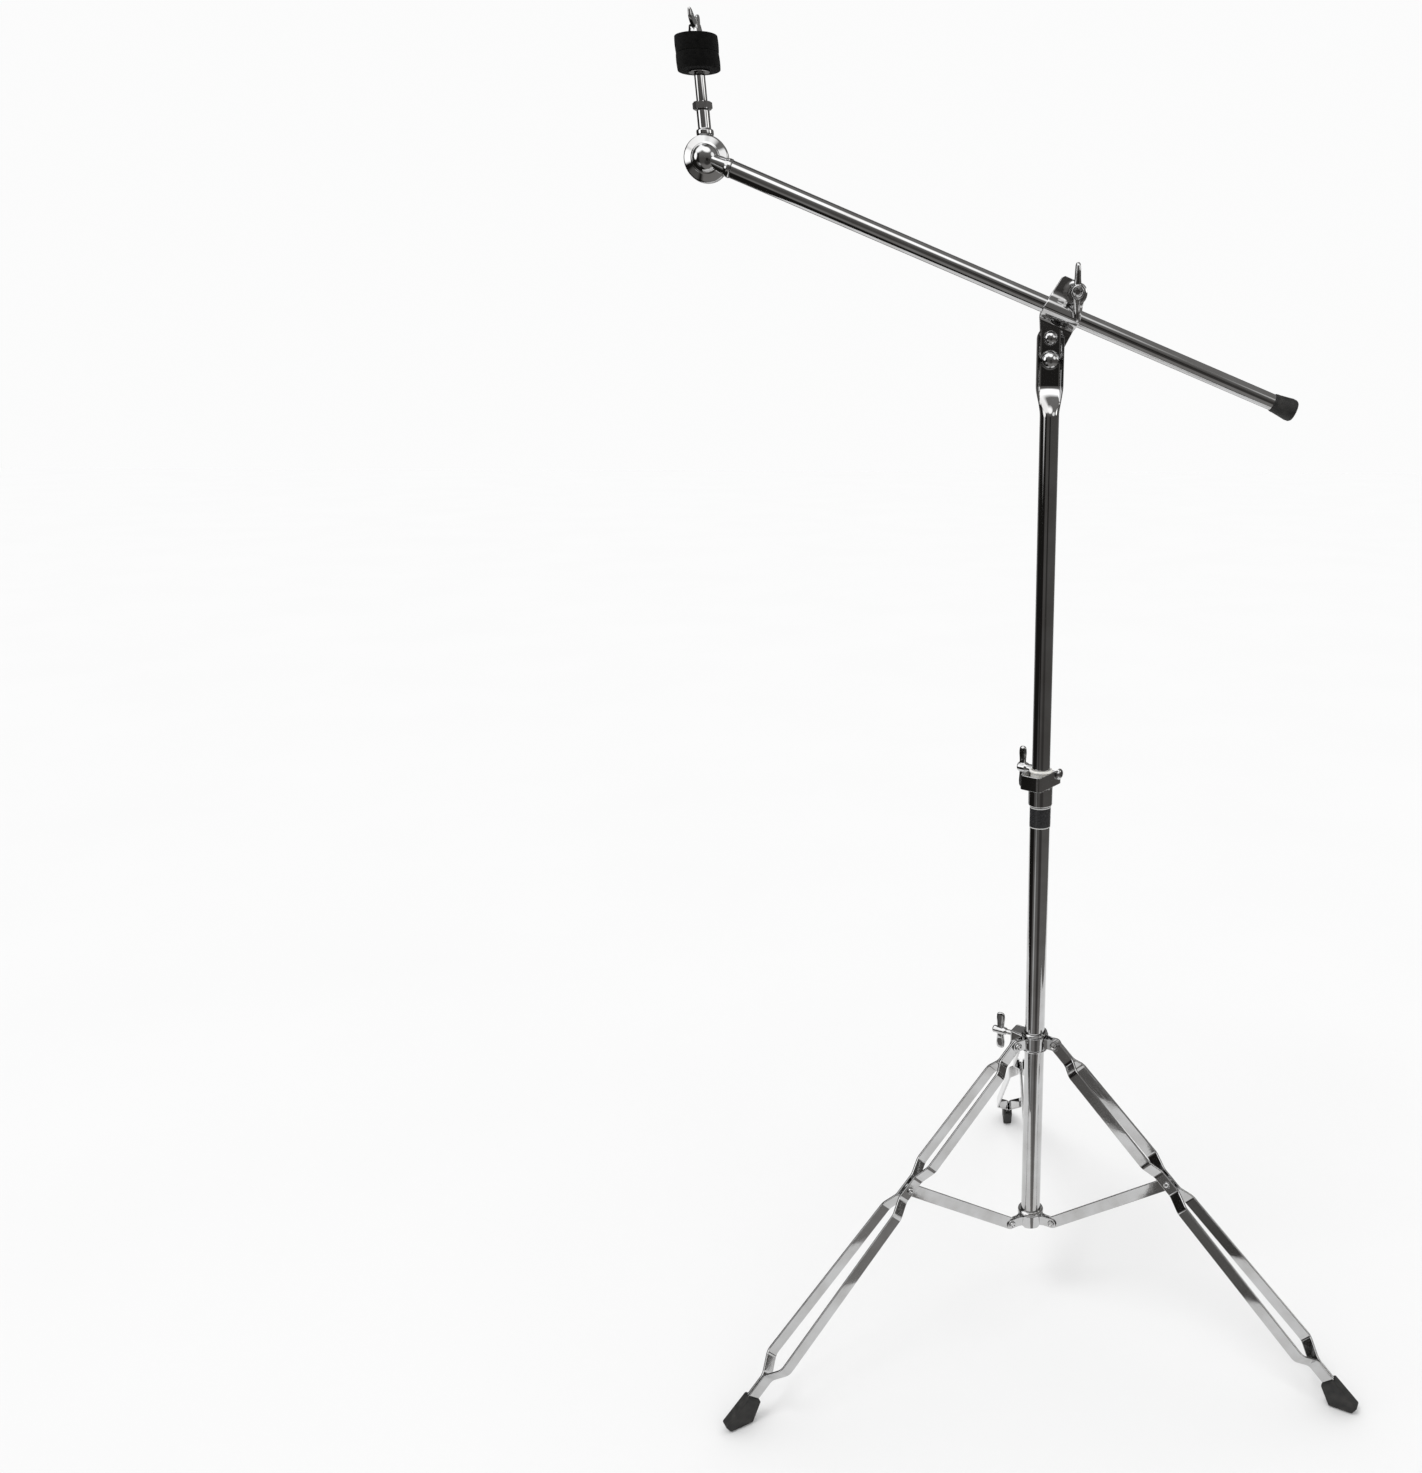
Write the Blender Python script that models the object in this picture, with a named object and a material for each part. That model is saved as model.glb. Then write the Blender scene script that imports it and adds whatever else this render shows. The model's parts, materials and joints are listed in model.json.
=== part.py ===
"""Cymbal boom stand: a double-braced folding tripod, a two-section column and a tilting boom.

Every separate piece is an object of its own. Empties mark the joints, and a moving piece is parented
to the empty that lies on its joint's axis. Metres, +Z up. The origin is on the floor, at the middle
of the stand's bounding box, and the column stands a little off it.
"""

import math

import bmesh
import bpy
from mathutils import Vector

# Where the column stands, seen from the origin
COLUMN_X = 0.00464
COLUMN_Y = -0.09545

GAP = 0.0003  # between pieces that touch

# Column
BASE_TUBE_RADIUS = 0.0111
BASE_TUBE_BORE = 0.0099
BASE_TUBE_BOTTOM = 0.101
BASE_TUBE_TOP = 0.6492
MIDDLE_TUBE_RADIUS = 0.009525
MIDDLE_TUBE_BORE = 0.0083
MIDDLE_TUBE_BOTTOM = 0.516
LABEL_BOTTOM = 0.6043
LABEL_TOP = 0.6276

# Tripod
LEG_AZIMUTHS = {"rear": 90, "left": 210, "right": 330}
LEG_SLOPE = math.radians(43.7)
COLLAR_PIVOT_RADIUS = 0.0255
COLLAR_PIVOT_Z = 0.346
MID_PIVOT_ALONG = 0.195
HUB_PIVOT_RADIUS = 0.028
HUB_PIVOT_Z = 0.111
STRIP_HEIGHT = 0.014
STRIP_THICKNESS = 0.0025
STRIP_END = 0.478
BRACE_THICKNESS = 0.0026
PIN_RADIUS = 0.0024
PIN_HOLE = 0.0027
PLATE_THICKNESS = 0.0015

# Height clamp on top of the base tube
CLAMP_AZIMUTH = math.radians(-37.4)
CLAMP_BOTTOM = 0.6499
CLAMP_HEIGHT = 0.016
CLAMP_HALF_WIDTH = 0.01215
CLAMP_SCREW_Y = 0.015
CLAMP_SCREW_Z = 0.6619

# Head of the middle tube, where the boom tilts
TILT_PIVOT_Z = 1.0859
HEAD_HALF_WIDTH = 0.01375
HEAD_REAR_Y = 0.0094
HEAD_THICKNESS = 0.003
HEAD_TOP = 0.032
HEAD_RIVET_Z = 0.0205

# Boom and its clamp, in the clamp's frame: X runs down the boom, Z away from the tilt pivot
BOOM_SLOPE = math.radians(21.42)
BOOM_OFFSET_Y = 0.003
BOOM_OFFSET_Z = 0.0455
BOOM_RADIUS = 0.00795
BOOM_BORE = 0.00695
BOOM_START = -0.3412
BOOM_END = 0.2405
CLAMP_BOLT_X = -0.0015
CLAMP_BOLT_Z = 0.0655

# Tilter, in a frame at the middle of its discs
TILTER_X = -0.3667
DISC_RADIUS = 0.02075
DISC_FACE_Y = 0.0078
ROD_OFFSET_Y = 0.0145
ROD_LEAN = math.radians(3.0)
FELT_RADIUS = 0.020


def clear_scene():
    """Remove whatever the scene holds."""
    for obj in list(bpy.data.objects):
        bpy.data.objects.remove(obj, do_unlink=True)


def make_material(name, colour, metallic, roughness):
    """A Principled material of one colour."""
    material = bpy.data.materials.new(name)
    material.use_nodes = True
    shader = material.node_tree.nodes["Principled BSDF"]
    shader.inputs["Base Color"].default_value = (*colour, 1.0)
    shader.inputs["Metallic"].default_value = metallic
    shader.inputs["Roughness"].default_value = roughness
    material.diffuse_color = (*colour, 1.0)
    return material


def make_empty(name, parent=None, location=(0, 0, 0), rotation=(0, 0, 0)):
    """A joint's frame."""
    empty = bpy.data.objects.new(name, None)
    bpy.context.scene.collection.objects.link(empty)
    empty.empty_display_size = 0.02
    empty.parent = parent
    empty.location = location
    empty.rotation_euler = rotation
    return empty


def make_object(name, bm, material, parent, location=(0, 0, 0), rotation=(0, 0, 0)):
    """Turn a bmesh into a named object in its parent's frame."""
    bmesh.ops.recalc_face_normals(bm, faces=bm.faces)
    if bm.calc_volume(signed=True) < 0:
        bmesh.ops.reverse_faces(bm, faces=bm.faces)
    mesh = bpy.data.meshes.new(name)
    bm.to_mesh(mesh)
    bm.free()
    mesh.shade_smooth()
    mesh.set_sharp_from_angle(angle=math.radians(32))
    obj = bpy.data.objects.new(name, mesh)
    bpy.context.scene.collection.objects.link(obj)
    obj.data.materials.append(material)
    obj.parent = parent
    obj.location = location
    obj.rotation_euler = rotation
    return obj


def combine(obj, operation, bm, parent=None, location=(0, 0, 0), rotation=(0, 0, 0)):
    """Cut a hidden shape out of an object, join it on, or keep only what they share."""
    guide = make_object(obj.name + "_guide", bm, obj.data.materials[0], parent or obj.parent)
    guide.location = location
    guide.rotation_euler = rotation
    guide.hide_render = True
    guide.display_type = "WIRE"
    modifier = obj.modifiers.new(operation.lower(), "BOOLEAN")
    modifier.operation = operation
    modifier.object = guide
    modifier.solver = "EXACT"


def bore(obj, radius, depth, location, rotation=(0, 0, 0), parent=None, steps=10):
    """Drill a hole of the given depth, centred on a place, along the rotated Z axis."""
    drill = lathe([(0, -depth / 2), (radius, -depth / 2), (radius, depth / 2), (0, depth / 2)], steps)
    combine(obj, "DIFFERENCE", drill, parent, location, rotation)


ALONG_X = (0, math.pi / 2, 0)
ALONG_Y = (-math.pi / 2, 0, 0)
TOWARDS_FRONT = (math.pi / 2, 0, 0)


def lathe(profile, steps=24):
    """Turn a profile of (radius, z) points about Z; points at radius 0 lie on the axis."""
    bm = bmesh.new()
    rings = []
    for radius, z in profile:
        if radius == 0:
            rings.append([bm.verts.new((0, 0, z))])
            continue
        turns = [2 * math.pi * i / steps for i in range(steps)]
        rings.append([bm.verts.new((radius * math.cos(a), radius * math.sin(a), z)) for a in turns])
    for low, high in zip(rings, rings[1:] + rings[:1]):
        for i in range(steps):
            j = (i + 1) % steps
            if len(low) == 1 and len(high) == 1:
                continue
            if len(low) == 1:
                bm.faces.new((low[0], high[i], high[j]))
            elif len(high) == 1:
                bm.faces.new((low[i], low[j], high[0]))
            else:
                bm.faces.new((low[i], low[j], high[j], high[i]))
    return bm


def tube(outer, inner, bottom, top, steps=24):
    """A plain hollow cylinder."""
    return lathe([(inner, bottom), (outer, bottom), (outer, top), (inner, top)], steps)


def dome(radius, height, bottom, steps=5):
    """Profile points of a domed top, from its rim up to the axis."""
    points = []
    for i in range(steps):
        angle = math.pi / 2 * i / (steps - 1)
        points.append((radius * math.cos(angle) if i < steps - 1 else 0, bottom + height * math.sin(angle)))
    return points


def prism(outline, low, high):
    """Extrude an (x, y) outline along Z."""
    bm = bmesh.new()
    face = bm.faces.new([bm.verts.new((x, y, low)) for x, y in outline])
    side = bmesh.ops.extrude_face_region(bm, geom=[face])
    lifted = [v for v in side["geom"] if isinstance(v, bmesh.types.BMVert)]
    bmesh.ops.translate(bm, verts=lifted, vec=(0, 0, high - low))
    return bm


def loft(rings, ladder=False):
    """Skin closed rings of equally many points. A ladder cap joins each point to the one across."""
    bm = bmesh.new()
    loops = [[bm.verts.new(p) for p in ring] for ring in rings]
    count = len(rings[0])
    for low, high in zip(loops, loops[1:]):
        for i in range(count):
            j = (i + 1) % count
            bm.faces.new((low[i], low[j], high[j], high[i]))
    for cap in (loops[0], loops[-1]):
        if not ladder:
            bm.faces.new(cap)
            continue
        for i in range(count // 2 - 1):
            bm.faces.new((cap[i], cap[i + 1], cap[count - 2 - i], cap[count - 1 - i]))
    return bm


def fillet(points, radius, steps=4):
    """Round each inner corner of an (x, y) path with an arc."""
    path = [Vector(points[0])]
    for before, corner, after in zip(points, points[1:], points[2:]):
        corner = Vector(corner)
        back = (Vector(before) - corner).normalized()
        ahead = (Vector(after) - corner).normalized()
        half = back.angle(ahead) / 2
        reach = min(radius / math.tan(half), (Vector(before) - corner).length * 0.45)
        reach = min(reach, (Vector(after) - corner).length * 0.45)
        start = corner + back * reach
        end = corner + ahead * reach
        for i in range(steps + 1):
            t = i / steps
            path.append(start * (1 - t) ** 2 + corner * (2 * t * (1 - t)) + end * t**2)
    path.append(Vector(points[-1]))
    return path


def arc(centre, radius, start, end, steps):
    """Points on an arc, angles in radians."""
    points = []
    for i in range(steps + 1):
        angle = start + (end - start) * i / steps
        points.append((centre[0] + radius * math.cos(angle), centre[1] + radius * math.sin(angle)))
    return points


def ribbon(path, thickness, heights, edge=0.0004):
    """Bend a flat bar along an (x, y) path; heights(i) gives its low and high z at a point."""
    rings = []
    last = len(path) - 1
    for i, point in enumerate(path):
        point = Vector(point)
        back = (point - Vector(path[i - 1])).normalized() if i > 0 else None
        ahead = (Vector(path[i + 1]) - point).normalized() if i < last else None
        along = ((back or ahead) + (ahead or back)).normalized()
        stretch = 1 / max(0.5, along.dot(ahead or back))
        side = Vector((-along.y, along.x)) * (thickness / 2 * stretch)
        inner = side * (1 - 2 * edge / thickness)
        low, high = heights(i)
        ring = [(inner, low), (side, low + edge), (side, high - edge), (inner, high)]
        ring += [(-inner, high), (-side, high - edge), (-side, low + edge), (-inner, low)]
        rings.append([(point.x + s.x, point.y + s.y, z) for s, z in ring])
    return loft(rings)


def pin(radius, length, head_radius, head_height):
    """A riveted pin along Z with a domed head at each end; length is between the heads."""
    half = length / 2
    top = [(radius, half)] + dome(head_radius, head_height, half, 3)
    bottom = [(r, -z) for r, z in reversed(top)]
    return lathe(bottom + top, 12)


# Wings, nuts and screws


def wing_blade(stations, power=0.7, points=8):
    """Loft a wing along X; each station is (x, half thickness, middle z, half width)."""
    rings = []
    for x, half_thickness, middle, half_width in stations:
        ring = []
        for i in range(points):
            angle = 2 * math.pi * (i + 0.5) / points
            c, s = math.cos(angle), math.sin(angle)
            y = half_thickness * math.copysign(abs(c) ** power, c)
            z = middle + half_width * math.copysign(abs(s) ** power, s)
            ring.append((x, y, z))
        rings.append(ring)
    return loft(rings)


def two_wings(reach, thickness, width, middle, rise=0.0):
    """Both wings of a wing nut as one blade through its hub, rising towards the tips."""
    shares = [(1.0, 0.62, 0.4), (0.93, 0.85, 0.85), (0.7, 1.0, 1.0), (0.25, 1.2, 0.62)]
    stations = []
    for side in (-1, 1):
        half = [
            (side * reach * x, thickness / 2 * t, middle + rise * x, width / 2 * w) for x, t, w in shares
        ]
        stations += half if side < 0 else half[::-1]
    return wing_blade(stations)


def build_wing_part(name, profile, wings, material, parent, location, rotation):
    """A screw or nut: a turned hub with wings joined on."""
    obj = make_object(name, lathe(profile, 16), material, parent, location, rotation)
    combine(obj, "UNION", wings, parent, location, rotation)
    return obj


# Sheet-metal plates that hold the legs and braces


def plate_path(arc_radius, pivot_radius, ear_radius, ear_offset, box=None):
    """Plan path of a plate between two legs 60 degrees either side of X, and where each ear is."""
    half = []
    for share in (1.0, 0.75, 0.3):
        half.append((pivot_radius + ear_radius * share, share))
    inner_end = math.sqrt(arc_radius**2 - ear_offset**2)
    half.append((inner_end + 0.0035, -1))
    points = []
    third = math.radians(60)
    for reach, share in half:
        x = reach * math.cos(third) + ear_offset * math.sin(third)
        y = reach * math.sin(third) - ear_offset * math.cos(third)
        points.append((x, y, share))
    corner = third - math.asin(ear_offset / arc_radius)
    if box:
        out, width = box
        start = math.asin(width / arc_radius) + 0.1
        curve = [(x, y, -1) for x, y in arc((0, 0), arc_radius, corner - 0.12, start, 2)]
        curve += [(out - 0.0012, width, -1), (out, width - 0.0012, -1)]
        middle = curve + [(x, -y, s) for x, y, s in reversed(curve)]
    else:
        middle = [(x, y, -1) for x, y in arc((0, 0), arc_radius, corner - 0.12, 0.12 - corner, 6)]
    return points + middle + [(x, -y, s) for x, y, s in reversed(points)]


def build_plate(name, material, parent, level, half_height, size, box=None):
    """One bent plate with an ear at each end, drilled for the pins."""
    arc_radius, pivot_radius, ear_radius, ear_offset = size
    path = plate_path(arc_radius, pivot_radius, ear_radius, ear_offset, box)

    def heights(i):
        share = path[i][2]
        if share < 0:
            return level - half_height, level + half_height
        half = ear_radius * math.sqrt(max(0.09, 1 - share**2))
        return level - half, level + half

    plan = [(x, y) for x, y, _ in path]
    obj = make_object(name, ribbon(plan, PLATE_THICKNESS, heights), material, parent)
    third = math.radians(60)
    for side in (-1, 1):
        place = (pivot_radius * math.cos(third), side * pivot_radius * math.sin(third), level)
        bore(obj, PIN_HOLE, 0.02, place, (math.pi / 2, 0, side * third))
    return obj


# Leg parts


def strip_path(side):
    """Plan path of one leg strip: touching its twin at both ends, pinched at the middle pivot."""
    closed = STRIP_THICKNESS / 2 + GAP / 2
    pinch = 0.003
    bends = [
        (-STRIP_HEIGHT / 2, closed),
        (0.0255, closed),
        (0.0375, 0.0095),
        (0.163, 0.011),
        (0.1805, pinch),
        (0.2075, pinch),
        (0.2245, 0.012),
        (0.418, 0.0174),
        (0.4365, closed),
        (STRIP_END, closed),
    ]
    return fillet([(x, side * y) for x, y in bends], 0.012, 2)


def bar_heights(path, half_height, round_start=True, round_end=False):
    """Half heights along a bar whose ends may be round."""
    start = path[0].x + half_height
    end = path[-1].x - half_height

    def heights(i):
        x = path[i].x
        over = 0.0
        if round_start and x < start:
            over = (start - x) / half_height
        if round_end and x > end:
            over = (x - end) / half_height
        half = half_height * math.sqrt(max(0.08, 1 - over**2))
        return -half, half

    return heights


def with_round_ends(path, half_height, start=True, end=False):
    """Add points near a path's ends, so that its heights can follow a round end."""
    shares = (0.1, 0.35, 1.0)
    direction = (path[1] - path[0]).normalized()
    extra_start = [path[0] + direction * (half_height * s) for s in shares] if start else []
    direction = (path[-2] - path[-1]).normalized()
    extra_end = [path[-1] + direction * (half_height * s) for s in reversed(shares)] if end else []
    return [path[0]] + extra_start + path[1:-1] + extra_end + [path[-1]]


def build_leg(name, frame, steel, rubber):
    """Two bowed strips, the halves of the middle pin, and the rubber foot."""
    hinge = make_empty(
        f"leg_{name}_hinge", frame, (COLLAR_PIVOT_RADIUS, 0, COLLAR_PIVOT_Z), (0, LEG_SLOPE, 0)
    )
    half_height = STRIP_HEIGHT / 2
    for side, which in ((1, "a"), (-1, "b")):
        path = with_round_ends(strip_path(side), half_height)
        bar = ribbon(path, STRIP_THICKNESS, bar_heights(path, half_height))
        strip = make_object(f"leg_{name}_strip_{which}", bar, steel, hinge)
        bore(strip, PIN_HOLE, 0.02, (0, 0, 0), ALONG_Y)
        bore(strip, PIN_HOLE, 0.02, (MID_PIVOT_ALONG, 0, 0), ALONG_Y)
        profile = [(0, 0.0019), (PIN_RADIUS, 0.0019), (PIN_RADIUS, 0.0045)] + dome(0.0038, 0.0017, 0.0045, 3)
        rotation = ALONG_Y if side > 0 else TOWARDS_FRONT
        place = (MID_PIVOT_ALONG, 0, 0)
        make_object(f"leg_{name}_pin_{which}", lathe(profile, 12), steel, hinge, place, rotation)
    build_foot(name, frame, hinge, rubber)
    return hinge


def build_foot(name, frame, hinge, rubber):
    """A moulded rubber shoe, flat underneath, with a pocket for the strips."""
    outline = [(0.3615, 0), (0.3868, 0), (0.3918, 0.0083), (0.3644, 0.0332), (0.3515, 0.0218)]
    shoe = prism(outline, -0.006, 0.006)
    foot = make_object(f"leg_{name}_foot", shoe, rubber, frame, (0, 0, 0), TOWARDS_FRONT)
    soften = foot.modifiers.new("edges", "BEVEL")
    soften.width = 0.0016
    soften.segments = 1
    pocket_start = 0.45
    pocket_end = STRIP_END + GAP
    wide = STRIP_THICKNESS + GAP / 2 + GAP
    tall = STRIP_HEIGHT / 2 + GAP
    plan = [(pocket_start, -wide), (pocket_end, -wide), (pocket_end, wide), (pocket_start, wide)]
    combine(foot, "DIFFERENCE", prism(plan, -tall, tall), hinge)


def build_brace(name, frame, steel):
    """A flat bar from the hub up to the middle of a leg."""
    rise = COLLAR_PIVOT_Z - MID_PIVOT_ALONG * math.sin(LEG_SLOPE) - HUB_PIVOT_Z
    run = COLLAR_PIVOT_RADIUS + MID_PIVOT_ALONG * math.cos(LEG_SLOPE) - HUB_PIVOT_RADIUS
    length = math.hypot(rise, run)
    hinge = make_empty(
        f"brace_{name}_hinge", frame, (HUB_PIVOT_RADIUS, 0, HUB_PIVOT_Z), (0, -math.atan2(rise, run), 0)
    )
    half_height = STRIP_HEIGHT / 2
    path = [Vector((-half_height, 0)), Vector((length + half_height, 0))]
    path = with_round_ends(path, half_height, True, True)
    bar = ribbon(path, BRACE_THICKNESS, bar_heights(path, half_height, True, True))
    brace = make_object(f"brace_{name}", bar, steel, hinge)
    bore(brace, PIN_HOLE, 0.02, (0, 0, 0), ALONG_Y)
    bore(brace, PIN_HOLE, 0.02, (length, 0, 0), ALONG_Y)


def build_tripod(stand, steel, rubber):
    """Base tube, hub, sliding collar, three legs and three braces."""
    base_tube = tube(BASE_TUBE_RADIUS, BASE_TUBE_BORE, BASE_TUBE_BOTTOM, BASE_TUBE_TOP)
    make_object("base_tube", base_tube, steel, stand)

    bore_radius = BASE_TUBE_RADIUS + GAP
    hub_profile = [
        (bore_radius, 0.1028),
        (0.0131, 0.1028),
        (0.0131, 0.1192),
        (0.0148, 0.1196),
        (0.0152, 0.1206),
        (0.0148, 0.1216),
        (0.0126, 0.1226),
        (bore_radius, 0.1232),
    ]
    make_object("hub_sleeve", lathe(hub_profile), steel, stand)

    collar = make_empty("collar_slide", stand)
    collar_profile = [
        (bore_radius + 0.0001, 0.3354),
        (0.0136, 0.3348),
        (0.0148, 0.3356),
        (0.0150, 0.3366),
        (0.0146, 0.3376),
        (0.0136, 0.3379),
        (0.0136, 0.3542),
        (0.0142, 0.3545),
        (0.0146, 0.3555),
        (0.0142, 0.3567),
        (0.0128, 0.3572),
        (bore_radius + 0.0001, 0.3566),
    ]
    make_object("collar_sleeve", lathe(collar_profile), steel, collar)

    ear = STRIP_THICKNESS + GAP / 2 + GAP + PLATE_THICKNESS / 2
    collar_size = (0.01475, COLLAR_PIVOT_RADIUS, 0.0062, ear)
    hub_ear = BRACE_THICKNESS / 2 + GAP + PLATE_THICKNESS / 2
    hub_size = (0.0142, HUB_PIVOT_RADIUS, 0.0058, hub_ear)
    for name, azimuth in LEG_AZIMUTHS.items():
        turn = math.radians(azimuth)
        frame = make_empty(f"leg_{name}_direction", collar, (0, 0, 0), (0, 0, turn))
        hub_frame = make_empty(f"brace_{name}_direction", stand, (0, 0, 0), (0, 0, turn))
        build_leg(name, frame, steel, rubber)
        build_brace(name, hub_frame, steel)
        pin_shape = pin(PIN_RADIUS, 2 * (ear + PLATE_THICKNESS / 2 + GAP), 0.0043, 0.0021)
        place = (COLLAR_PIVOT_RADIUS, 0, COLLAR_PIVOT_Z)
        make_object(f"collar_pin_{name}", pin_shape, steel, frame, place, ALONG_Y)
        pin_shape = pin(PIN_RADIUS, 2 * (hub_ear + PLATE_THICKNESS / 2 + GAP), 0.0040, 0.0018)
        place = (HUB_PIVOT_RADIUS, 0, HUB_PIVOT_Z)
        make_object(f"hub_pin_{name}", pin_shape, steel, hub_frame, place, ALONG_Y)

    plates = {"front": 270, "left": 150, "right": 30}
    for name, azimuth in plates.items():
        frame = make_empty(f"plate_{name}_direction", stand, (0, 0, 0), (0, 0, math.radians(azimuth)))
        build_plate(f"hub_plate_{name}", steel, frame, HUB_PIVOT_Z, 0.0078, hub_size)
        frame = make_empty(f"collar_{name}_direction", collar, (0, 0, 0), (0, 0, math.radians(azimuth)))
        if name != "left":
            build_plate(f"collar_plate_{name}", steel, frame, COLLAR_PIVOT_Z, 0.00775, collar_size)
            continue
        box = (0.0263, 0.0085)
        plate = build_plate("collar_lock_plate", steel, frame, COLLAR_PIVOT_Z, 0.00775, collar_size, box)
        roof = arc((0, 0), 0.0149, -0.6, 0.6, 6) + [(box[0], box[1] - 0.0006), (box[0], 0.0006 - box[1])]
        combine(plate, "UNION", prism(roof, COLLAR_PIVOT_Z + 0.0062, COLLAR_PIVOT_Z + 0.0077), frame)
        bore(plate, 0.0034, 0.012, (0.0265, 0, COLLAR_PIVOT_Z + 0.0005), ALONG_X)
        screw_profile = [
            (0, -0.0204),
            (0.003, -0.0204),
            (0.003, 0.0),
            (0.0038, 0.0003),
            (0.0042, 0.0015),
            (0.0042, 0.0162),
            (0.0036, 0.0174),
            (0, 0.0175),
        ]
        wings = two_wings(0.0225, 0.0042, 0.0105, 0.0078)
        place = (0.0352, 0, COLLAR_PIVOT_Z + 0.0005)
        build_wing_part("collar_wing_screw", screw_profile, wings, steel, frame, place, ALONG_X)


# Height clamp


def build_height_clamp(stand, steel, nylon, label):
    """Ring, strap, screw and wing nut on the base tube, with the bush that the middle tube slides in."""
    inner = BASE_TUBE_RADIUS + GAP
    ring = [
        (inner, 0.6286),
        (0.0122, 0.6286),
        (0.0129, 0.6293),
        (0.0129, 0.6492),
        (0.0125, 0.6496),
        (inner, 0.6496),
    ]
    make_object("height_clamp_ring", lathe(ring), steel, stand)

    band = arc((0, 0), BASE_TUBE_RADIUS + 0.0002, math.radians(-168), math.radians(24), 20)
    band += arc((0, 0), BASE_TUBE_RADIUS + 0.0006, math.radians(24), math.radians(-168), 20)
    make_object("label_band", prism(band, LABEL_BOTTOM, LABEL_TOP), label, stand)

    frame = make_empty("height_clamp_direction", stand, (0, 0, 0), (0, 0, CLAMP_AZIMUTH))
    half = CLAMP_HALF_WIDTH
    corners = [(half, 0.0195), (half, -0.0222), (-half, -0.0222), (-half, 0.0195)]
    path = fillet(corners, 0.004, 4)
    top = CLAMP_BOTTOM + CLAMP_HEIGHT
    strap = make_object(
        "height_clamp_strap",
        ribbon(path, PLATE_THICKNESS, lambda i: (CLAMP_BOTTOM, top)),
        steel,
        frame,
    )
    place = (0, CLAMP_SCREW_Y, CLAMP_SCREW_Z)
    bore(strap, 0.0029, 0.05, place, ALONG_X)
    screw = [(0, -0.0385), (0.0025, -0.0385), (0.0025, 0.0133), (0.006, 0.0133), (0.006, 0.0145)]
    screw += dome(0.0056, 0.0022, 0.0147, 4)
    make_object("height_clamp_screw", lathe(screw, 14), steel, frame, place, ALONG_X)

    nut = [
        (0, 0.0133),
        (0.0055, 0.0133),
        (0.0055, 0.015),
        (0.0044, 0.0175),
        (0.0042, 0.0255),
        (0.0054, 0.028),
        (0.0054, 0.0365),
        (0.0046, 0.0375),
        (0, 0.0375),
    ]
    wings = two_wings(0.0235, 0.005, 0.0085, 0.0325)
    towards_nut = (0, -math.pi / 2, 0)
    wing_nut = build_wing_part("height_wing_nut", nut, wings, steel, frame, place, towards_nut)
    bore(wing_nut, 0.0028, 0.03, (-0.0254, CLAMP_SCREW_Y, CLAMP_SCREW_Z), ALONG_X)

    bush_bore = MIDDLE_TUBE_RADIUS + GAP
    bush = [
        (bush_bore, 0.6496),
        (0.0111, 0.6496),
        (0.0111, 0.6663),
        (0.0126, 0.6663),
        (0.0126, 0.6679),
        (0.0118, 0.6687),
        (bush_bore, 0.6687),
    ]
    swivel = make_empty("column_swivel", stand)
    make_object("height_bush", lathe(bush), nylon, swivel)
    return swivel


# Middle tube with its pressed head


def head_section(share, thickness):
    """Outline of the middle tube: round at share 0, pressed into a shallow trough at share 1."""
    count = 28
    ring = []
    trough = fillet(
        [
            (-HEAD_HALF_WIDTH + 0.0015, 0.0002),
            (-HEAD_HALF_WIDTH + 0.0015, HEAD_REAR_Y - 0.0015),
            (HEAD_HALF_WIDTH - 0.0015, HEAD_REAR_Y - 0.0015),
            (HEAD_HALF_WIDTH - 0.0015, 0.0002),
        ],
        0.006,
        5,
    )
    lengths = [0.0]
    for a, b in zip(trough, trough[1:]):
        lengths.append(lengths[-1] + (b - a).length)

    def along(distance):
        for i in range(len(trough) - 1):
            if distance <= lengths[i + 1] or i == len(trough) - 2:
                t = (distance - lengths[i]) / (lengths[i + 1] - lengths[i])
                t = min(1.0, max(0.0, t))
                direction = (trough[i + 1] - trough[i]).normalized()
                return trough[i].lerp(trough[i + 1], t), Vector((-direction.y, direction.x))

    for i in range(count):
        angle = 2 * math.pi * (i + 0.5) / count
        radius = MIDDLE_TUBE_RADIUS - (HEAD_THICKNESS / 2 - thickness)
        circle = Vector((-radius * math.cos(angle), radius * math.sin(angle)))
        rear = angle < math.pi
        part = angle / math.pi if rear else 2 - angle / math.pi
        place, side = along(part * lengths[-1])
        pressed = place + side * (thickness if rear else -thickness)
        ring.append(circle.lerp(pressed, share))
    return ring


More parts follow.
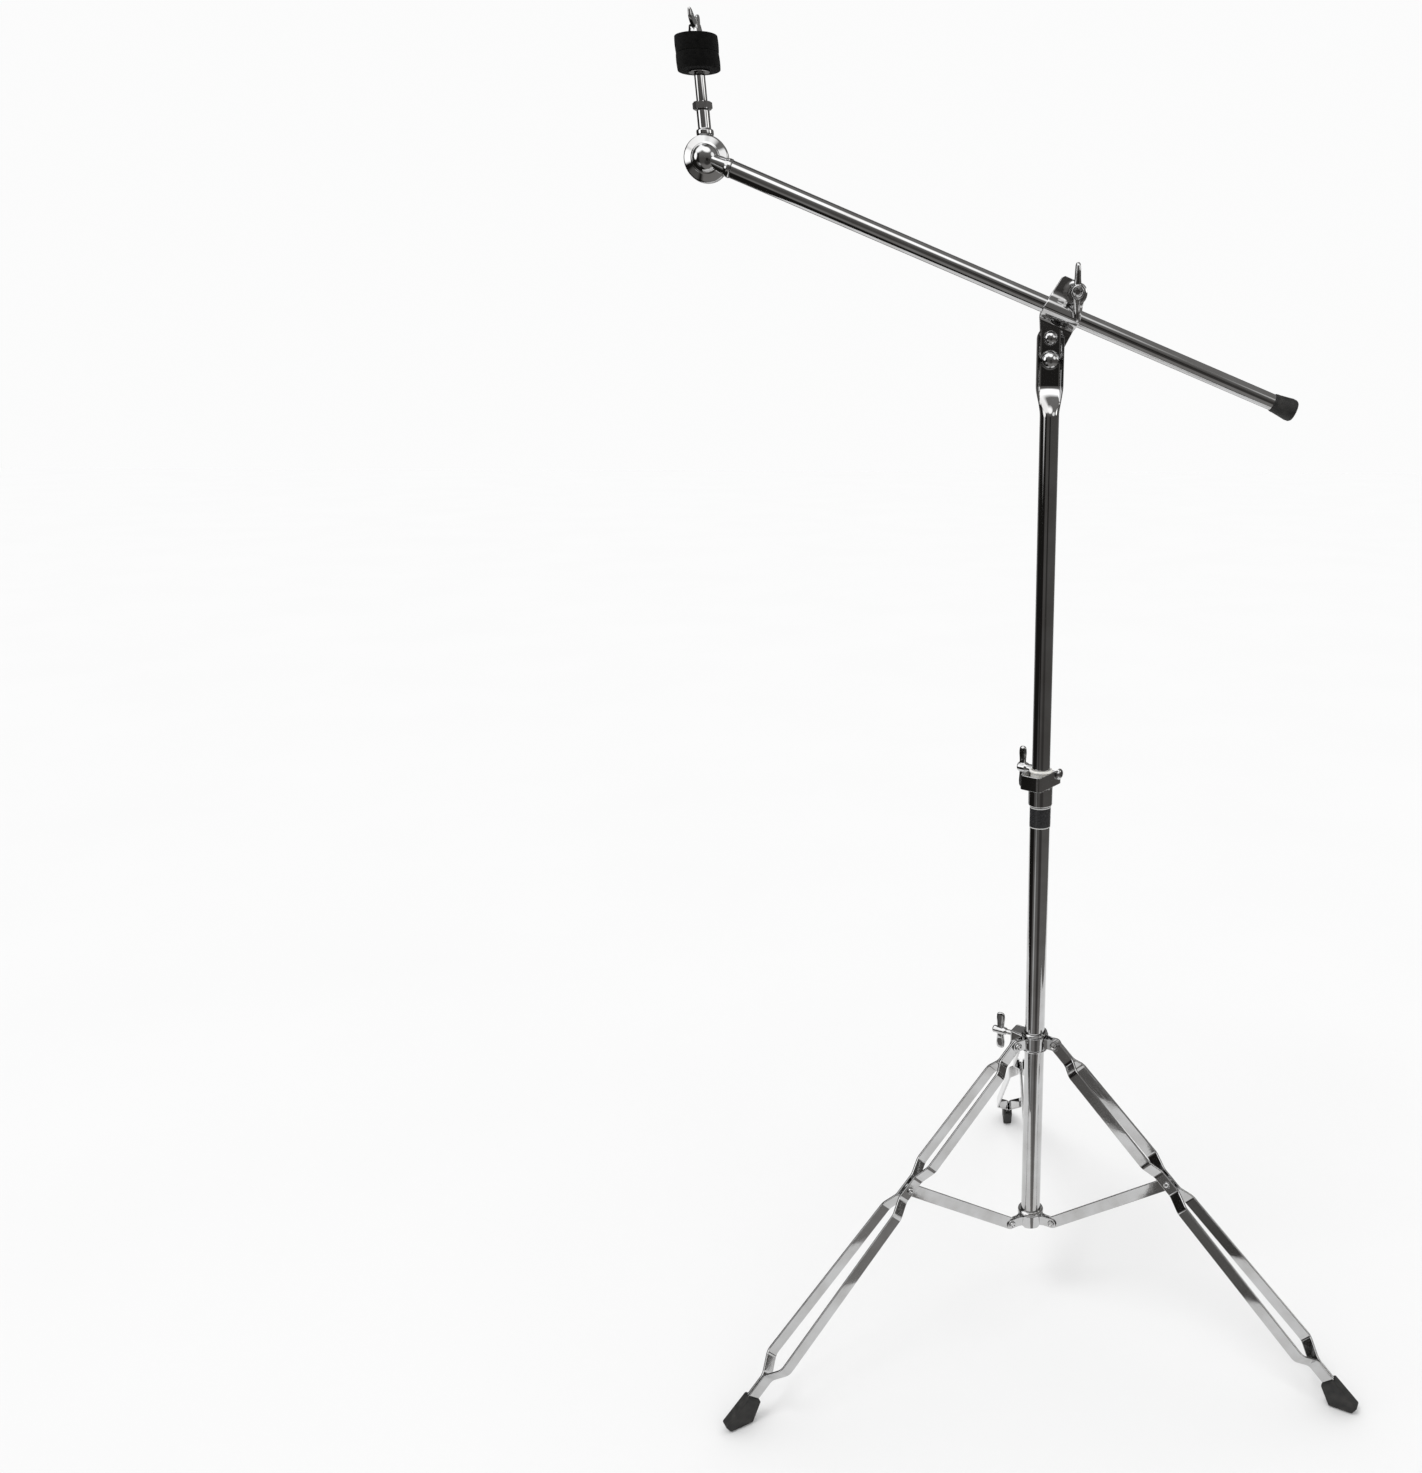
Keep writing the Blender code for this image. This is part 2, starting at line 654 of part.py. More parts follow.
def build_middle_tube(parent, steel):
    """Tube pressed flat and troughed at the top; its bore ends where the walls meet."""
    levels = [(-0.052, 0.0), (-0.049, 0.04), (-0.045, 0.16), (-0.041, 0.36), (-0.037, 0.6)]
    levels += [(-0.033, 0.82), (-0.029, 0.95), (-0.025, 1.0)]
    outer = HEAD_THICKNESS / 2
    inner = outer - (MIDDLE_TUBE_RADIUS - MIDDLE_TUBE_BORE)
    bottom = (MIDDLE_TUBE_BOTTOM - TILT_PIVOT_Z, 0.0)
    rings = []
    for rise, share in levels[3::-1] + [bottom]:
        rings.append([(p.x, p.y, TILT_PIVOT_Z + rise) for p in head_section(share, inner)])
    for rise, share in [bottom] + levels:
        rings.append([(p.x, p.y, TILT_PIVOT_Z + rise) for p in head_section(share, outer)])
    arch = HEAD_TOP - HEAD_HALF_WIDTH
    for lift in (0.0, 0.5, 1.0):
        ring = []
        for p in head_section(1.0, outer):
            across = min(abs(p.x), HEAD_HALF_WIDTH)
            top = arch + math.sqrt(HEAD_HALF_WIDTH**2 - across**2)
            ring.append((p.x, p.y, TILT_PIVOT_Z + lift * top + (1 - lift) * 0.002))
        rings.append(ring)
    tube_object = make_object("middle_tube", loft(rings, True), steel, parent)
    bore(tube_object, 0.0042, 0.03, (0, HEAD_REAR_Y, TILT_PIVOT_Z), ALONG_Y)
    bore(tube_object, 0.0033, 0.03, (0, HEAD_REAR_Y, TILT_PIVOT_Z + HEAD_RIVET_Z), ALONG_Y)

    web_front = HEAD_REAR_Y - HEAD_THICKNESS
    profile = [(0, GAP - HEAD_THICKNESS), (0.003, GAP - HEAD_THICKNESS), (0.003, GAP)]
    profile += [(0.0069, GAP), (0.0071, 0.0012)] + dome(0.0069, 0.0052, 0.0016, 5)
    place = (0, web_front, TILT_PIVOT_Z + HEAD_RIVET_Z)
    make_object("head_rivet", lathe(profile, 18), steel, parent, place, TOWARDS_FRONT)

    shank_end = -0.0235
    profile = [(0, shank_end), (0.0038, shank_end), (0.0038, GAP), (0.0086, GAP), (0.0094, 0.0016)]
    profile += dome(0.0093, 0.0076, 0.0020, 6)
    place = (0, web_front, TILT_PIVOT_Z)
    make_object("tilt_bolt", lathe(profile, 20), steel, parent, place, TOWARDS_FRONT)


# Boom clamp


def clamp_profile(front):
    """Side view (z, y) of one clamp plate, from below the pivot to the top of its ear."""
    centre = (BOOM_OFFSET_Z, BOOM_OFFSET_Y)
    radius = BOOM_RADIUS + GAP + PLATE_THICKNESS / 2 + 0.0001
    flat = HEAD_REAR_Y + GAP + PLATE_THICKNESS / 2
    if not front:
        flat += PLATE_THICKNESS + GAP
    ear = BOOM_OFFSET_Y - 0.00325 if front else BOOM_OFFSET_Y + 0.00325
    if front:
        knee = Vector((0.034, flat))
        reach = (Vector(centre) - knee).length
        turn = math.atan2(centre[1] - knee.y, centre[0] - knee.x) - math.asin(radius / reach)
        start = math.atan2(-math.cos(turn), math.sin(turn))
        ridge = Vector(centre) + Vector((-0.0033, -0.0097))
        heading = math.atan2(-0.0097, -0.0033)
        spread = math.acos(radius / (ridge - Vector(centre)).length)
        flank = [(-0.013, flat), (knee.x - 0.002, flat), (knee.x + 0.0004, flat - 0.0012)]
        flank += arc(centre, radius, start, heading - spread, 3) + [tuple(ridge)]
        lean = math.radians(40)
        bow = arc(centre, radius, heading + spread, lean - math.pi / 2, 3)
        top = bow[-1][0] + (ear - bow[-1][1]) / math.tan(lean)
        shoulder = (top - 0.0022 * math.cos(lean), ear - 0.0022 * math.sin(lean))
        return flank + bow + [shoulder, (top + 0.0022, ear), (0.0795, ear)]
    spread = flat - centre[1]
    bow = arc(centre, spread, math.pi / 2, math.pi / 2 - math.acos(0.00325 / spread), 7)
    return [(-0.013, flat)] + bow + [(0.0795, ear)]


def clamp_outline():
    """Front view (x, z) of a clamp plate."""
    outline = arc((0, 0), 0.011, math.radians(170), math.radians(350), 8)
    outline += [(0.0085, 0.014), (0.012, 0.044)]
    outline += arc((CLAMP_BOLT_X, CLAMP_BOLT_Z), 0.0113, math.radians(-25), math.radians(95), 7)
    outline += [(-0.0165, 0.0765), (-0.0192, 0.0745), (-0.0262, 0.041), (-0.0255, 0.035)]
    return outline


def build_clamp_plate(name, front, steel, parent):
    """A pressed plate that wraps half of the boom and clamps at its ear."""
    profile = clamp_profile(front)
    path = [Vector(p) for p in profile]
    sheet = ribbon(path, PLATE_THICKNESS, lambda i: (-0.03, 0.03), 0.0002)
    for vert in sheet.verts:
        z, y, x = vert.co
        vert.co = (x, y, z)
    plate = make_object(name, sheet, steel, parent)
    outline = prism([(x, z) for x, z in clamp_outline()], -0.03, 0.03)
    combine(plate, "INTERSECT", outline, parent, (0, 0, 0), TOWARDS_FRONT)
    bore(plate, 0.0042, 0.06, (0, 0, 0), ALONG_Y)
    if front:
        ear = BOOM_OFFSET_Y - 0.00325 - PLATE_THICKNESS / 2
        boss = [(0, -0.0006), (0.0102, -0.0006), (0.0102, 0.0006), (0.0096, 0.0011), (0, 0.0011)]
        combine(plate, "UNION", lathe(boss, 28), parent, (CLAMP_BOLT_X, ear, CLAMP_BOLT_Z), TOWARDS_FRONT)
    bore(plate, 0.0033, 0.04, (CLAMP_BOLT_X, 0, CLAMP_BOLT_Z), ALONG_Y)


def build_boom_clamp(parent, steel):
    """The tilting clamp: two plates, the wing screw that squeezes them and its nut."""
    hinge = make_empty("tilt_hinge", parent, (0, 0, TILT_PIVOT_Z), (0, BOOM_SLOPE, 0))
    build_clamp_plate("boom_clamp_front", True, steel, hinge)
    build_clamp_plate("boom_clamp_rear", False, steel, hinge)
    rear_face = BOOM_OFFSET_Y + 0.00325 + PLATE_THICKNESS / 2
    nut = lathe([(0.0039, 0), (0.0074, 0), (0.0074, 0.005), (0.0039, 0.005)], 6)
    place = (CLAMP_BOLT_X, rear_face + GAP, CLAMP_BOLT_Z)
    make_object("boom_clamp_nut", nut, steel, hinge, place, ALONG_Y)
    screw = [
        (0, -0.0155),
        (0.003, -0.0155),
        (0.003, 0),
        (0.0068, 0),
        (0.0066, 0.009),
        (0.0062, 0.0155),
        (0.0056, 0.0162),
        (0.0038, 0.0162),
        (0.0034, 0.0125),
        (0, 0.0125),
    ]
    wings = two_wings(0.0268, 0.0062, 0.0095, 0.0108)
    front_face = BOOM_OFFSET_Y - 0.00325 - PLATE_THICKNESS / 2 - 0.0011 - GAP
    place = (CLAMP_BOLT_X, front_face, CLAMP_BOLT_Z)
    upright = (math.pi / 2, math.pi / 2 - BOOM_SLOPE, 0)
    wing_screw = build_wing_part("boom_wing_screw", screw, wings, steel, hinge, place, upright)
    bore(wing_screw, 0.0034, 0.006, (CLAMP_BOLT_X, front_face - 0.0158, CLAMP_BOLT_Z), ALONG_Y)

    nut = [(0, 0), (0.0072, 0), (0.0072, 0.002), (0.0056, 0.0068), (0.0052, 0.0085), (0, 0.0085)]
    wings = two_wings(0.0185, 0.004, 0.0095, 0.0058, 0.0055)
    rear = HEAD_REAR_Y + 2 * (GAP + PLATE_THICKNESS) + GAP
    place = (0, rear, TILT_PIVOT_Z)
    upright = (-math.pi / 2, math.pi / 2, 0)
    tilt_nut = build_wing_part("tilt_wing_nut", nut, wings, steel, parent, place, upright)
    bore(tilt_nut, 0.0041, 0.03, (0, rear + 0.008, TILT_PIVOT_Z), ALONG_Y)
    return hinge


# Boom, tilter and cymbal seat


def build_boom(hinge, steel, rubber):
    """The boom tube with its end cap, and the tilter half that carries it."""
    boom = make_empty("boom_slide", hinge, (0, BOOM_OFFSET_Y, BOOM_OFFSET_Z))
    tube_shape = tube(BOOM_RADIUS, BOOM_BORE, BOOM_START, BOOM_END, 20)
    make_object("boom_tube", tube_shape, steel, boom, (0, 0, 0), ALONG_X)
    inner = BOOM_RADIUS + GAP
    cap = [
        (inner, 0.2207),
        (0.0088, 0.2207),
        (0.0091, 0.225),
        (0.0102, 0.2335),
        (0.0109, 0.2385),
        (0.0106, 0.2425),
        (0.0088, 0.2448),
        (0, 0.245),
        (0, BOOM_END + GAP),
        (inner, BOOM_END + GAP),
    ]
    make_object("boom_end_cap", lathe(cap, 20), rubber, boom, (0, 0, 0), ALONG_X)

    tilter = make_empty("tilter_frame", boom, (TILTER_X, 0, 0))
    disc = [(0, DISC_FACE_Y), (DISC_RADIUS, DISC_FACE_Y), (DISC_RADIUS, DISC_FACE_Y - 0.0028)]
    disc += [(0.0198, DISC_FACE_Y - 0.0036), (0.0128, 0.0004)]
    disc += [(r, -z) for r, z in dome(0.0118, 0.0062, 0.0004, 6)]
    disc = [(r, -z) for r, z in disc]
    half = make_object("tilter_boom_half", lathe(disc, 28), steel, tilter, (0, 0, 0), TOWARDS_FRONT)
    neck = [
        (0, 0.004),
        (0.0056, 0.004),
        (0.0062, 0.0105),
        (0.0074, 0.0195),
        (0.0086, 0.0222),
        (0.0086, 0.0252),
        (0.0066, 0.0252),
        (0.0066, 0.044),
        (0, 0.044),
    ]
    combine(half, "UNION", lathe(neck, 16), tilter, (0, 0, 0), ALONG_X)
    bore(half, 0.0043, 0.012, (0, DISC_FACE_Y, 0), ALONG_Y)
    stud = [(0, 0.0024), (0.004, 0.0024), (0.004, 0.0345), (0, 0.0345)]
    make_object("tilter_bolt", lathe(stud, 12), steel, tilter, (0, 0, 0), ALONG_Y)
    return tilter


def build_cymbal_seat(tilter, steel, felt):
    """The rod half of the tilter, the rod, its lock nut, the felts and the wing nuts."""
    hinge = make_empty("tilter_hinge", tilter, (0, 0, 0), (0, -BOOM_SLOPE - ROD_LEAN, 0))
    face = DISC_FACE_Y + GAP
    disc = [(0, face), (DISC_RADIUS, face), (DISC_RADIUS, face + 0.0028), (0.0198, face + 0.0036)]
    disc += [(0.0128, face + 0.0052), (0.0118, face + 0.0058), (0.009, 0.0204), (0, 0.0209)]
    half = make_object("tilter_rod_half", lathe(disc, 28), steel, hinge, (0, 0, 0), ALONG_Y)
    neck = [
        (0, 0.0052),
        (0.0056, 0.0052),
        (0.006, 0.0206),
        (0.008, 0.0212),
        (0.008, 0.0258),
        (0.006, 0.0262),
        (0.006, 0.0426),
        (0, 0.0426),
    ]
    rod_place = (0, ROD_OFFSET_Y, 0)
    combine(half, "UNION", lathe(neck, 16), hinge, rod_place)
    bore(half, 0.0043, 0.06, (0, 0.01, 0), ALONG_Y)
    bore(half, 0.0034, 0.026, (0, ROD_OFFSET_Y, 0.0426), (0, 0, 0))

    rod = [(0, 0.0302), (0.003, 0.0302), (0.003, 0.0497), (0.005, 0.0497), (0.005, 0.0735)]
    rod += [(0.0038, 0.0738), (0.0038, 0.118), (0.0032, 0.1192), (0, 0.1192)]
    make_object("cymbal_rod", lathe(rod, 16), steel, hinge, rod_place)
    nut = lathe([(0.0039, 0.0430), (0.0092, 0.0430), (0.0092, 0.0494), (0.0039, 0.0494)], 6)
    make_object("rod_lock_nut", nut, steel, hinge, rod_place)
    washer = tube(0.0095, 0.0041, 0.0738, 0.0752, 18)
    make_object("seat_washer", washer, steel, hinge, rod_place)

    def felt_shape(bottom, top):
        soft = 0.0018
        profile = [(0.0043, bottom), (FELT_RADIUS - soft, bottom), (FELT_RADIUS, bottom + soft)]
        profile += [(FELT_RADIUS, top - soft), (FELT_RADIUS - soft, top), (0.0043, top)]
        return lathe(profile, 24)

    make_object("lower_felt", felt_shape(0.0755, 0.0895), felt, hinge, rod_place)
    make_object("upper_felt", felt_shape(0.0898, 0.1038), felt, hinge, rod_place)
    nut = [(0, 0), (0.007, 0), (0.007, 0.0015), (0.0060, 0.0050), (0.0054, 0.0090), (0, 0.0090)]
    wings = two_wings(0.0145, 0.0046, 0.0118, 0.0078, 0.0084)
    place = (0, ROD_OFFSET_Y, 0.1041)
    turned = (0, 0, math.radians(83))
    top_nut = build_wing_part("cymbal_wing_nut", nut, wings, steel, hinge, place, turned)
    bore(top_nut, 0.0041, 0.03, (0, ROD_OFFSET_Y, 0.112))

    nut = [(0, 0), (0.0072, 0), (0.0072, 0.002), (0.0056, 0.0068), (0.0052, 0.0085), (0, 0.0085)]
    wings = two_wings(0.0185, 0.004, 0.0095, 0.0058, 0.0055)
    place = (0, 0.0212, 0)
    turned = (-math.pi / 2, math.radians(-45) - BOOM_SLOPE, 0)
    back_nut = build_wing_part("tilter_wing_nut", nut, wings, steel, tilter, place, turned)
    bore(back_nut, 0.0043, 0.03, (0, 0.0292, 0), ALONG_Y)


def main():
    """Build the whole stand."""
    clear_scene()
    steel = make_material("chrome", (0.72, 0.72, 0.73), 1.0, 0.12)
    rubber = make_material("black_rubber", (0.02, 0.02, 0.02), 0.0, 0.7)
    felt = make_material("black_felt", (0.012, 0.012, 0.012), 0.0, 0.95)
    nylon = make_material("white_nylon", (0.82, 0.82, 0.8), 0.0, 0.4)
    label = make_material("label_film", (0.06, 0.06, 0.065), 0.0, 0.35)
    stand = make_empty("stand", None, (COLUMN_X, COLUMN_Y, 0))
    build_tripod(stand, steel, rubber)
    swivel = build_height_clamp(stand, steel, nylon, label)
    column = make_empty("height_slide", swivel)
    build_middle_tube(column, steel)
    hinge = build_boom_clamp(column, steel)
    tilter = build_boom(hinge, steel, rubber)
    build_cymbal_seat(tilter, steel, felt)


main()
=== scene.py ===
"""Looks of a cymbal boom stand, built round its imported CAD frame.

Places come from the frame's joints and boxes. Metal pieces are rebuilt here with rounded edges,
drawn sheet shapes and cast wing screws, and ride on the CAD bodies they stand for.
"""

import json
import math

import bmesh
import bpy
from mathutils import Matrix, Vector


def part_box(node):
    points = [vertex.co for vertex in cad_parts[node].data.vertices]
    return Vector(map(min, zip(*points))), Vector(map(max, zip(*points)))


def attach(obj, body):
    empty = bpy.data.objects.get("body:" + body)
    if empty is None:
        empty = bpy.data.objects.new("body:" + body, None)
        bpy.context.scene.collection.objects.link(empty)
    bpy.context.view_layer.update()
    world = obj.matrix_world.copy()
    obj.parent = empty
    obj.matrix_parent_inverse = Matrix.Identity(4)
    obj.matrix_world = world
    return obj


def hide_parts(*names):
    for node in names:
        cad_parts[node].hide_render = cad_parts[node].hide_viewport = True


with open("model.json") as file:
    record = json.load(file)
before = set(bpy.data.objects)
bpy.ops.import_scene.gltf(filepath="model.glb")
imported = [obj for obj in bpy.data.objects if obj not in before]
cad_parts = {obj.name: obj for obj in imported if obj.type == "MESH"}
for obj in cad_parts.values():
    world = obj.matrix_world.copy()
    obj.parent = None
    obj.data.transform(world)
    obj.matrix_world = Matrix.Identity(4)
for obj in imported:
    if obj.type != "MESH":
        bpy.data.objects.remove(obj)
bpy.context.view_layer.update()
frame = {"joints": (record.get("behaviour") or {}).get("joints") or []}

JOINTS = {joint["name"]: joint for joint in frame["joints"]}
TILT_POINT = Vector(JOINTS["boom_tilt"]["pos_m"])

low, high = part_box("base_tube")
COLUMN = Vector(((low.x + high.x) / 2, (low.y + high.y) / 2, 0))
BASE_RADIUS = (high.x - low.x) / 2
BASE_BOTTOM = low.z
BASE_TOP = high.z
COLLAR_Z = JOINTS["leg_left_hinge"]["pos_m"][2]
HUB_Z = JOINTS["brace_left_hinge"]["pos_m"][2]
TILT_Z = TILT_POINT.z

# Sizes in metres
GAP = 0.0003
MIDDLE_RADIUS = 0.009525
MIDDLE_BORE = 0.0083
LEG_AZIMUTHS = {"rear": 90, "left": 210, "right": 330}
LEG_SLOPE = math.radians(43.7)
COLLAR_REACH = 0.0255
MID_PIN_ALONG = 0.195
HUB_REACH = 0.028
STRIP_HEIGHT = 0.014
STRIP_THICKNESS = 0.0025
STRIP_END = 0.478
BRACE_THICKNESS = 0.0026
PLATE = 0.0015
CLAMP_TURN = math.radians(-37.4)
HEAD_HALF_WIDTH = 0.01375
HEAD_REAR = 0.0094
HEAD_THICKNESS = 0.003
HEAD_TOP = 0.032
RIVET_RISE = 0.0205
BOOM_SLOPE = math.radians(21.42)
BOOM_OFFSET = Vector((0, 0.003, 0.0455))
BOOM_RADIUS = 0.00795
BOOM_BORE = 0.00695
BOOM_START = -0.3412
BOOM_END = 0.2405
EAR_BOLT = Vector((-0.0015, 0, 0.0655))
EAR_RADIUS = 0.0113
EAR_JOIN = math.radians(25)
EAR_HALF_GAP = 0.00325
PLATE_FOOT = 0.0109
TILTER_ALONG = -0.3667
DISC_RADIUS = 0.02075
DISC_FACE = 0.0078
ROD_OFFSET = 0.0145
ROD_LEAN = math.radians(3.0)
FELT_RADIUS = 0.020

ALONG_X = (0, math.pi / 2, 0)
ALONG_Y = (-math.pi / 2, 0, 0)
TO_FRONT = (math.pi / 2, 0, 0)


# Placing


def at(base, location=(0, 0, 0), turn=(0, 0, 0)):
    """A frame inside another, turned about X, then Y, then Z."""
    spin = Matrix.Rotation(turn[2], 4, "Z") @ Matrix.Rotation(turn[1], 4, "Y")
    return base @ Matrix.Translation(location) @ spin @ Matrix.Rotation(turn[0], 4, "X")


STAND = Matrix.Translation(COLUMN)
TILT = at(STAND, (0, 0, TILT_Z), (0, BOOM_SLOPE, 0))
BOOM = at(TILT, BOOM_OFFSET)
TILTER = at(BOOM, (TILTER_ALONG, 0, 0))
POST = at(TILTER, (0, 0, 0), (0, -BOOM_SLOPE - ROD_LEAN, 0))
ROD = at(POST, (0, ROD_OFFSET, 0))


def finish(bm, name, sharp=42.0):
    """Close up a bmesh as a smooth mesh object that faces outwards."""
    bmesh.ops.recalc_face_normals(bm, faces=bm.faces)
    if bm.calc_volume(signed=True) < 0:
        bmesh.ops.reverse_faces(bm, faces=bm.faces)
    mesh = bpy.data.meshes.new(name)
    bm.to_mesh(mesh)
    bm.free()
    mesh.shade_smooth()
    mesh.set_sharp_from_angle(angle=math.radians(sharp))
    obj = bpy.data.objects.new(name, mesh)
    bpy.context.scene.collection.objects.link(obj)
    return obj


def show(obj, matrix, material, body, node):
    """Place a finished piece, give it its material, and let it stand for a CAD node."""
    obj.matrix_world = matrix
    obj.data.materials.clear()
    obj.data.materials.append(material)
    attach(obj, body)
    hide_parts(node)
    return obj


def settle(obj):
    """Apply an object's modifiers."""
    graph = bpy.context.evaluated_depsgraph_get()
    mesh = bpy.data.meshes.new_from_object(obj.evaluated_get(graph))
    old = obj.data
    obj.modifiers.clear()
    obj.data = mesh
    bpy.data.meshes.remove(old)


def cut(obj, bm, operation="DIFFERENCE"):
    """Apply one Boolean with a throwaway shape, in the object's own coordinates."""
    tool = finish(bm, obj.name + "_tool")
    modifier = obj.modifiers.new("cut", "BOOLEAN")
    modifier.operation = operation
    modifier.object = tool
    modifier.solver = "EXACT"
    settle(obj)
    bpy.data.objects.remove(tool, do_unlink=True)


def drill(obj, radius, bottom, top, matrix=None, steps=40):
    """Cut a round hole along Z, or along the Z of a matrix."""
    bm = turned([(0, bottom), (radius, bottom), (radius, top), (0, top)], steps)
    if matrix:
        bmesh.ops.transform(bm, matrix=matrix, verts=bm.verts)
    cut(obj, bm)


def resharpen(obj, sharp=40):
    """Smooth shading with sharp corners again, after a cut."""
    obj.data.shade_smooth()
    obj.data.set_sharp_from_angle(angle=math.radians(sharp))
    return obj


def even_normals(obj):
    """Keep broad faces flat beside narrow rounded edges."""
    modifier = obj.modifiers.new("normals", "WEIGHTED_NORMAL")
    modifier.keep_sharp = True
    modifier.weight = 80
    return obj


# Shapes


def rounded(points, radius, steps=4, closed=False):
    """Round the corners of a path. A third number in a point is that corner's own radius."""
    count = len(points)
    path = []
    for i, point in enumerate(points):
        here = Vector(point[:2])
        if not closed and i in (0, count - 1):
            path.append(here)
            continue
        before = Vector(points[i - 1][:2])
        after = Vector(points[(i + 1) % count][:2])
        own = point[2] if len(point) > 2 else radius
        back = before - here
        ahead = after - here
        half = back.angle(ahead) / 2
        if own == 0 or half > math.radians(88):
            path.append(here)
            continue
        reach = min(own / math.tan(half), back.length * 0.47, ahead.length * 0.47)
        start = here + back.normalized() * reach
        end = here + ahead.normalized() * reach
        for step in range(steps + 1):
            t = step / steps
            path.append(start * (1 - t) ** 2 + here * (2 * t * (1 - t)) + end * t**2)
    return path


def turned(profile, steps=72, shape=None):
    """Turn (radius, z) points about Z. shape(radius, angle, z) may change a radius."""
    bm = bmesh.new()
    rings = []
    for radius, z in profile:
        if radius <= 1e-7:
            rings.append([bm.verts.new((0, 0, z))])
            continue
        ring = []
        for i in range(steps):
            angle = 2 * math.pi * i / steps
            r = shape(radius, angle, z) if shape else radius
            ring.append(bm.verts.new((r * math.cos(angle), r * math.sin(angle), z)))
        rings.append(ring)
    for below, above in zip(rings, rings[1:] + rings[:1]):
        for i in range(steps):
            j = (i + 1) % steps
            if len(below) == 1 and len(above) == 1:
                continue
            if len(below) == 1:
                bm.faces.new((below[0], above[i], above[j]))
            elif len(above) == 1:
                bm.faces.new((below[i], below[j], above[0]))
            else:
                bm.faces.new((below[i], below[j], above[j], above[i]))
    return bm


def sleeve(corners, radius=0.0004, steps=72, shape=None):
    """A turned ring whose section is a closed polygon with rounded corners."""
    return turned(rounded(corners, radius, 4, True), steps, shape)


def spindle(corners, radius=0.0004, steps=72, shape=None):
    """A turned solid from axis to axis with rounded corners."""
    return turned(rounded(corners, radius), steps, shape)


def tube(outer, inner, bottom, top, steps=96):
    """A drawn tube with slightly rounded ends."""
    return sleeve([(inner, bottom), (outer, bottom), (outer, top), (inner, top)], 0.0004, steps)


def cap_points(radius, height, bottom, steps=10):
    """A domed cap from its rim to the axis."""
    angles = [math.pi / 2 * i / steps for i in range(steps + 1)]
    rim = [(radius * math.cos(a), bottom + height * math.sin(a)) for a in angles[:-1]]
    return rim + [(0, bottom + height)]


def loft(rings, ladder=False):
    """Skin closed rings of equally many points; a ladder cap suits a flat section."""
    bm = bmesh.new()
    loops = [[bm.verts.new(p) for p in ring] for ring in rings]
    count = len(rings[0])
    for below, above in zip(loops, loops[1:]):
        for i in range(count):
            j = (i + 1) % count
            bm.faces.new((below[i], below[j], above[j], above[i]))
    for cap in (loops[0], loops[-1]):
        if ladder:
            for i in range(count // 2 - 1):
                bm.faces.new((cap[i], cap[i + 1], cap[count - 2 - i], cap[count - 1 - i]))
        else:
            bm.faces.new(cap)
    return bm


def bar_section(half_thickness, low_z, high_z, edge, steps=4):
    """Section of a flat bar with rounded long edges, as (sideways, z) points."""
    edge = min(edge, half_thickness * 0.98, (high_z - low_z) * 0.49)
    points = []
    corners = ((1, 1, 0), (-1, 1, 90), (-1, -1, 180), (1, -1, 270))
    for side, top, start in corners:
        centre_s = side * (half_thickness - edge)
        centre_z = high_z - edge if top > 0 else low_z + edge
        for i in range(steps + 1):
            angle = math.radians(start + 90 * i / steps)
            points.append((centre_s + edge * math.cos(angle), centre_z + edge * math.sin(angle)))
    return points


def ribbon(path, thickness, heights, edge=0.0008):
    """Bend a bar with rounded edges along an (x, y) path; heights(point) gives low and high z."""
    rings = []
    last = len(path) - 1
    for i, point in enumerate(path):
        back = (point - path[i - 1]).normalized() if i > 0 else None
        ahead = (path[i + 1] - point).normalized() if i < last else None
        along = ((back or ahead) + (ahead or back)).normalized()
        side = Vector((-along.y, along.x)) / max(0.6, along.dot(ahead or back))
        low_z, high_z = heights(i)
        section = bar_section(thickness / 2, low_z, high_z, edge)
        rings.append([(point.x + side.x * s, point.y + side.y * s, z) for s, z in section])
    return loft(rings)


def oblong(left, right, half):
    """Outline of a rectangle, even about Y = 0."""
    return [Vector(p) for p in ((left, -half), (right, -half), (right, half), (left, half))]


def arc(centre, radius, start, end, steps):
    """Points on an arc; angles in radians."""
    angles = [start + (end - start) * i / steps for i in range(steps + 1)]
    return [Vector((centre[0] + radius * math.cos(a), centre[1] + radius * math.sin(a))) for a in angles]


def slab(outline, bottom, top, edge=0.0006, steps=3):
    """Extrude an (x, y) outline along Z with rounded rims."""
    count = len(outline)
    area = sum(a.x * b.y - b.x * a.y for a, b in zip(outline, outline[1:] + outline[:1]))
    inward = []
    for i, point in enumerate(outline):
        back = (point - outline[i - 1]).normalized()
        ahead = (outline[(i + 1) % count] - point).normalized()
        normal = Vector((-(back.y + ahead.y), back.x + ahead.x))
        inward.append(normal.normalized() * (1 if area > 0 else -1))
    rings = []
    for level, sign in ((bottom, 1), (top, -1)):
        for step in range(steps + 1):
            angle = math.pi / 2 * step / steps
            share = (1 - math.sin(angle), 1 - math.cos(angle))
            if sign < 0:
                share = (1 - math.cos(angle), 1 - math.sin(angle))
            z = level + sign * edge * share[1]
            rings.append([(*(p + n * edge * share[0]), z) for p, n in zip(outline, inward)])
    return loft(rings)


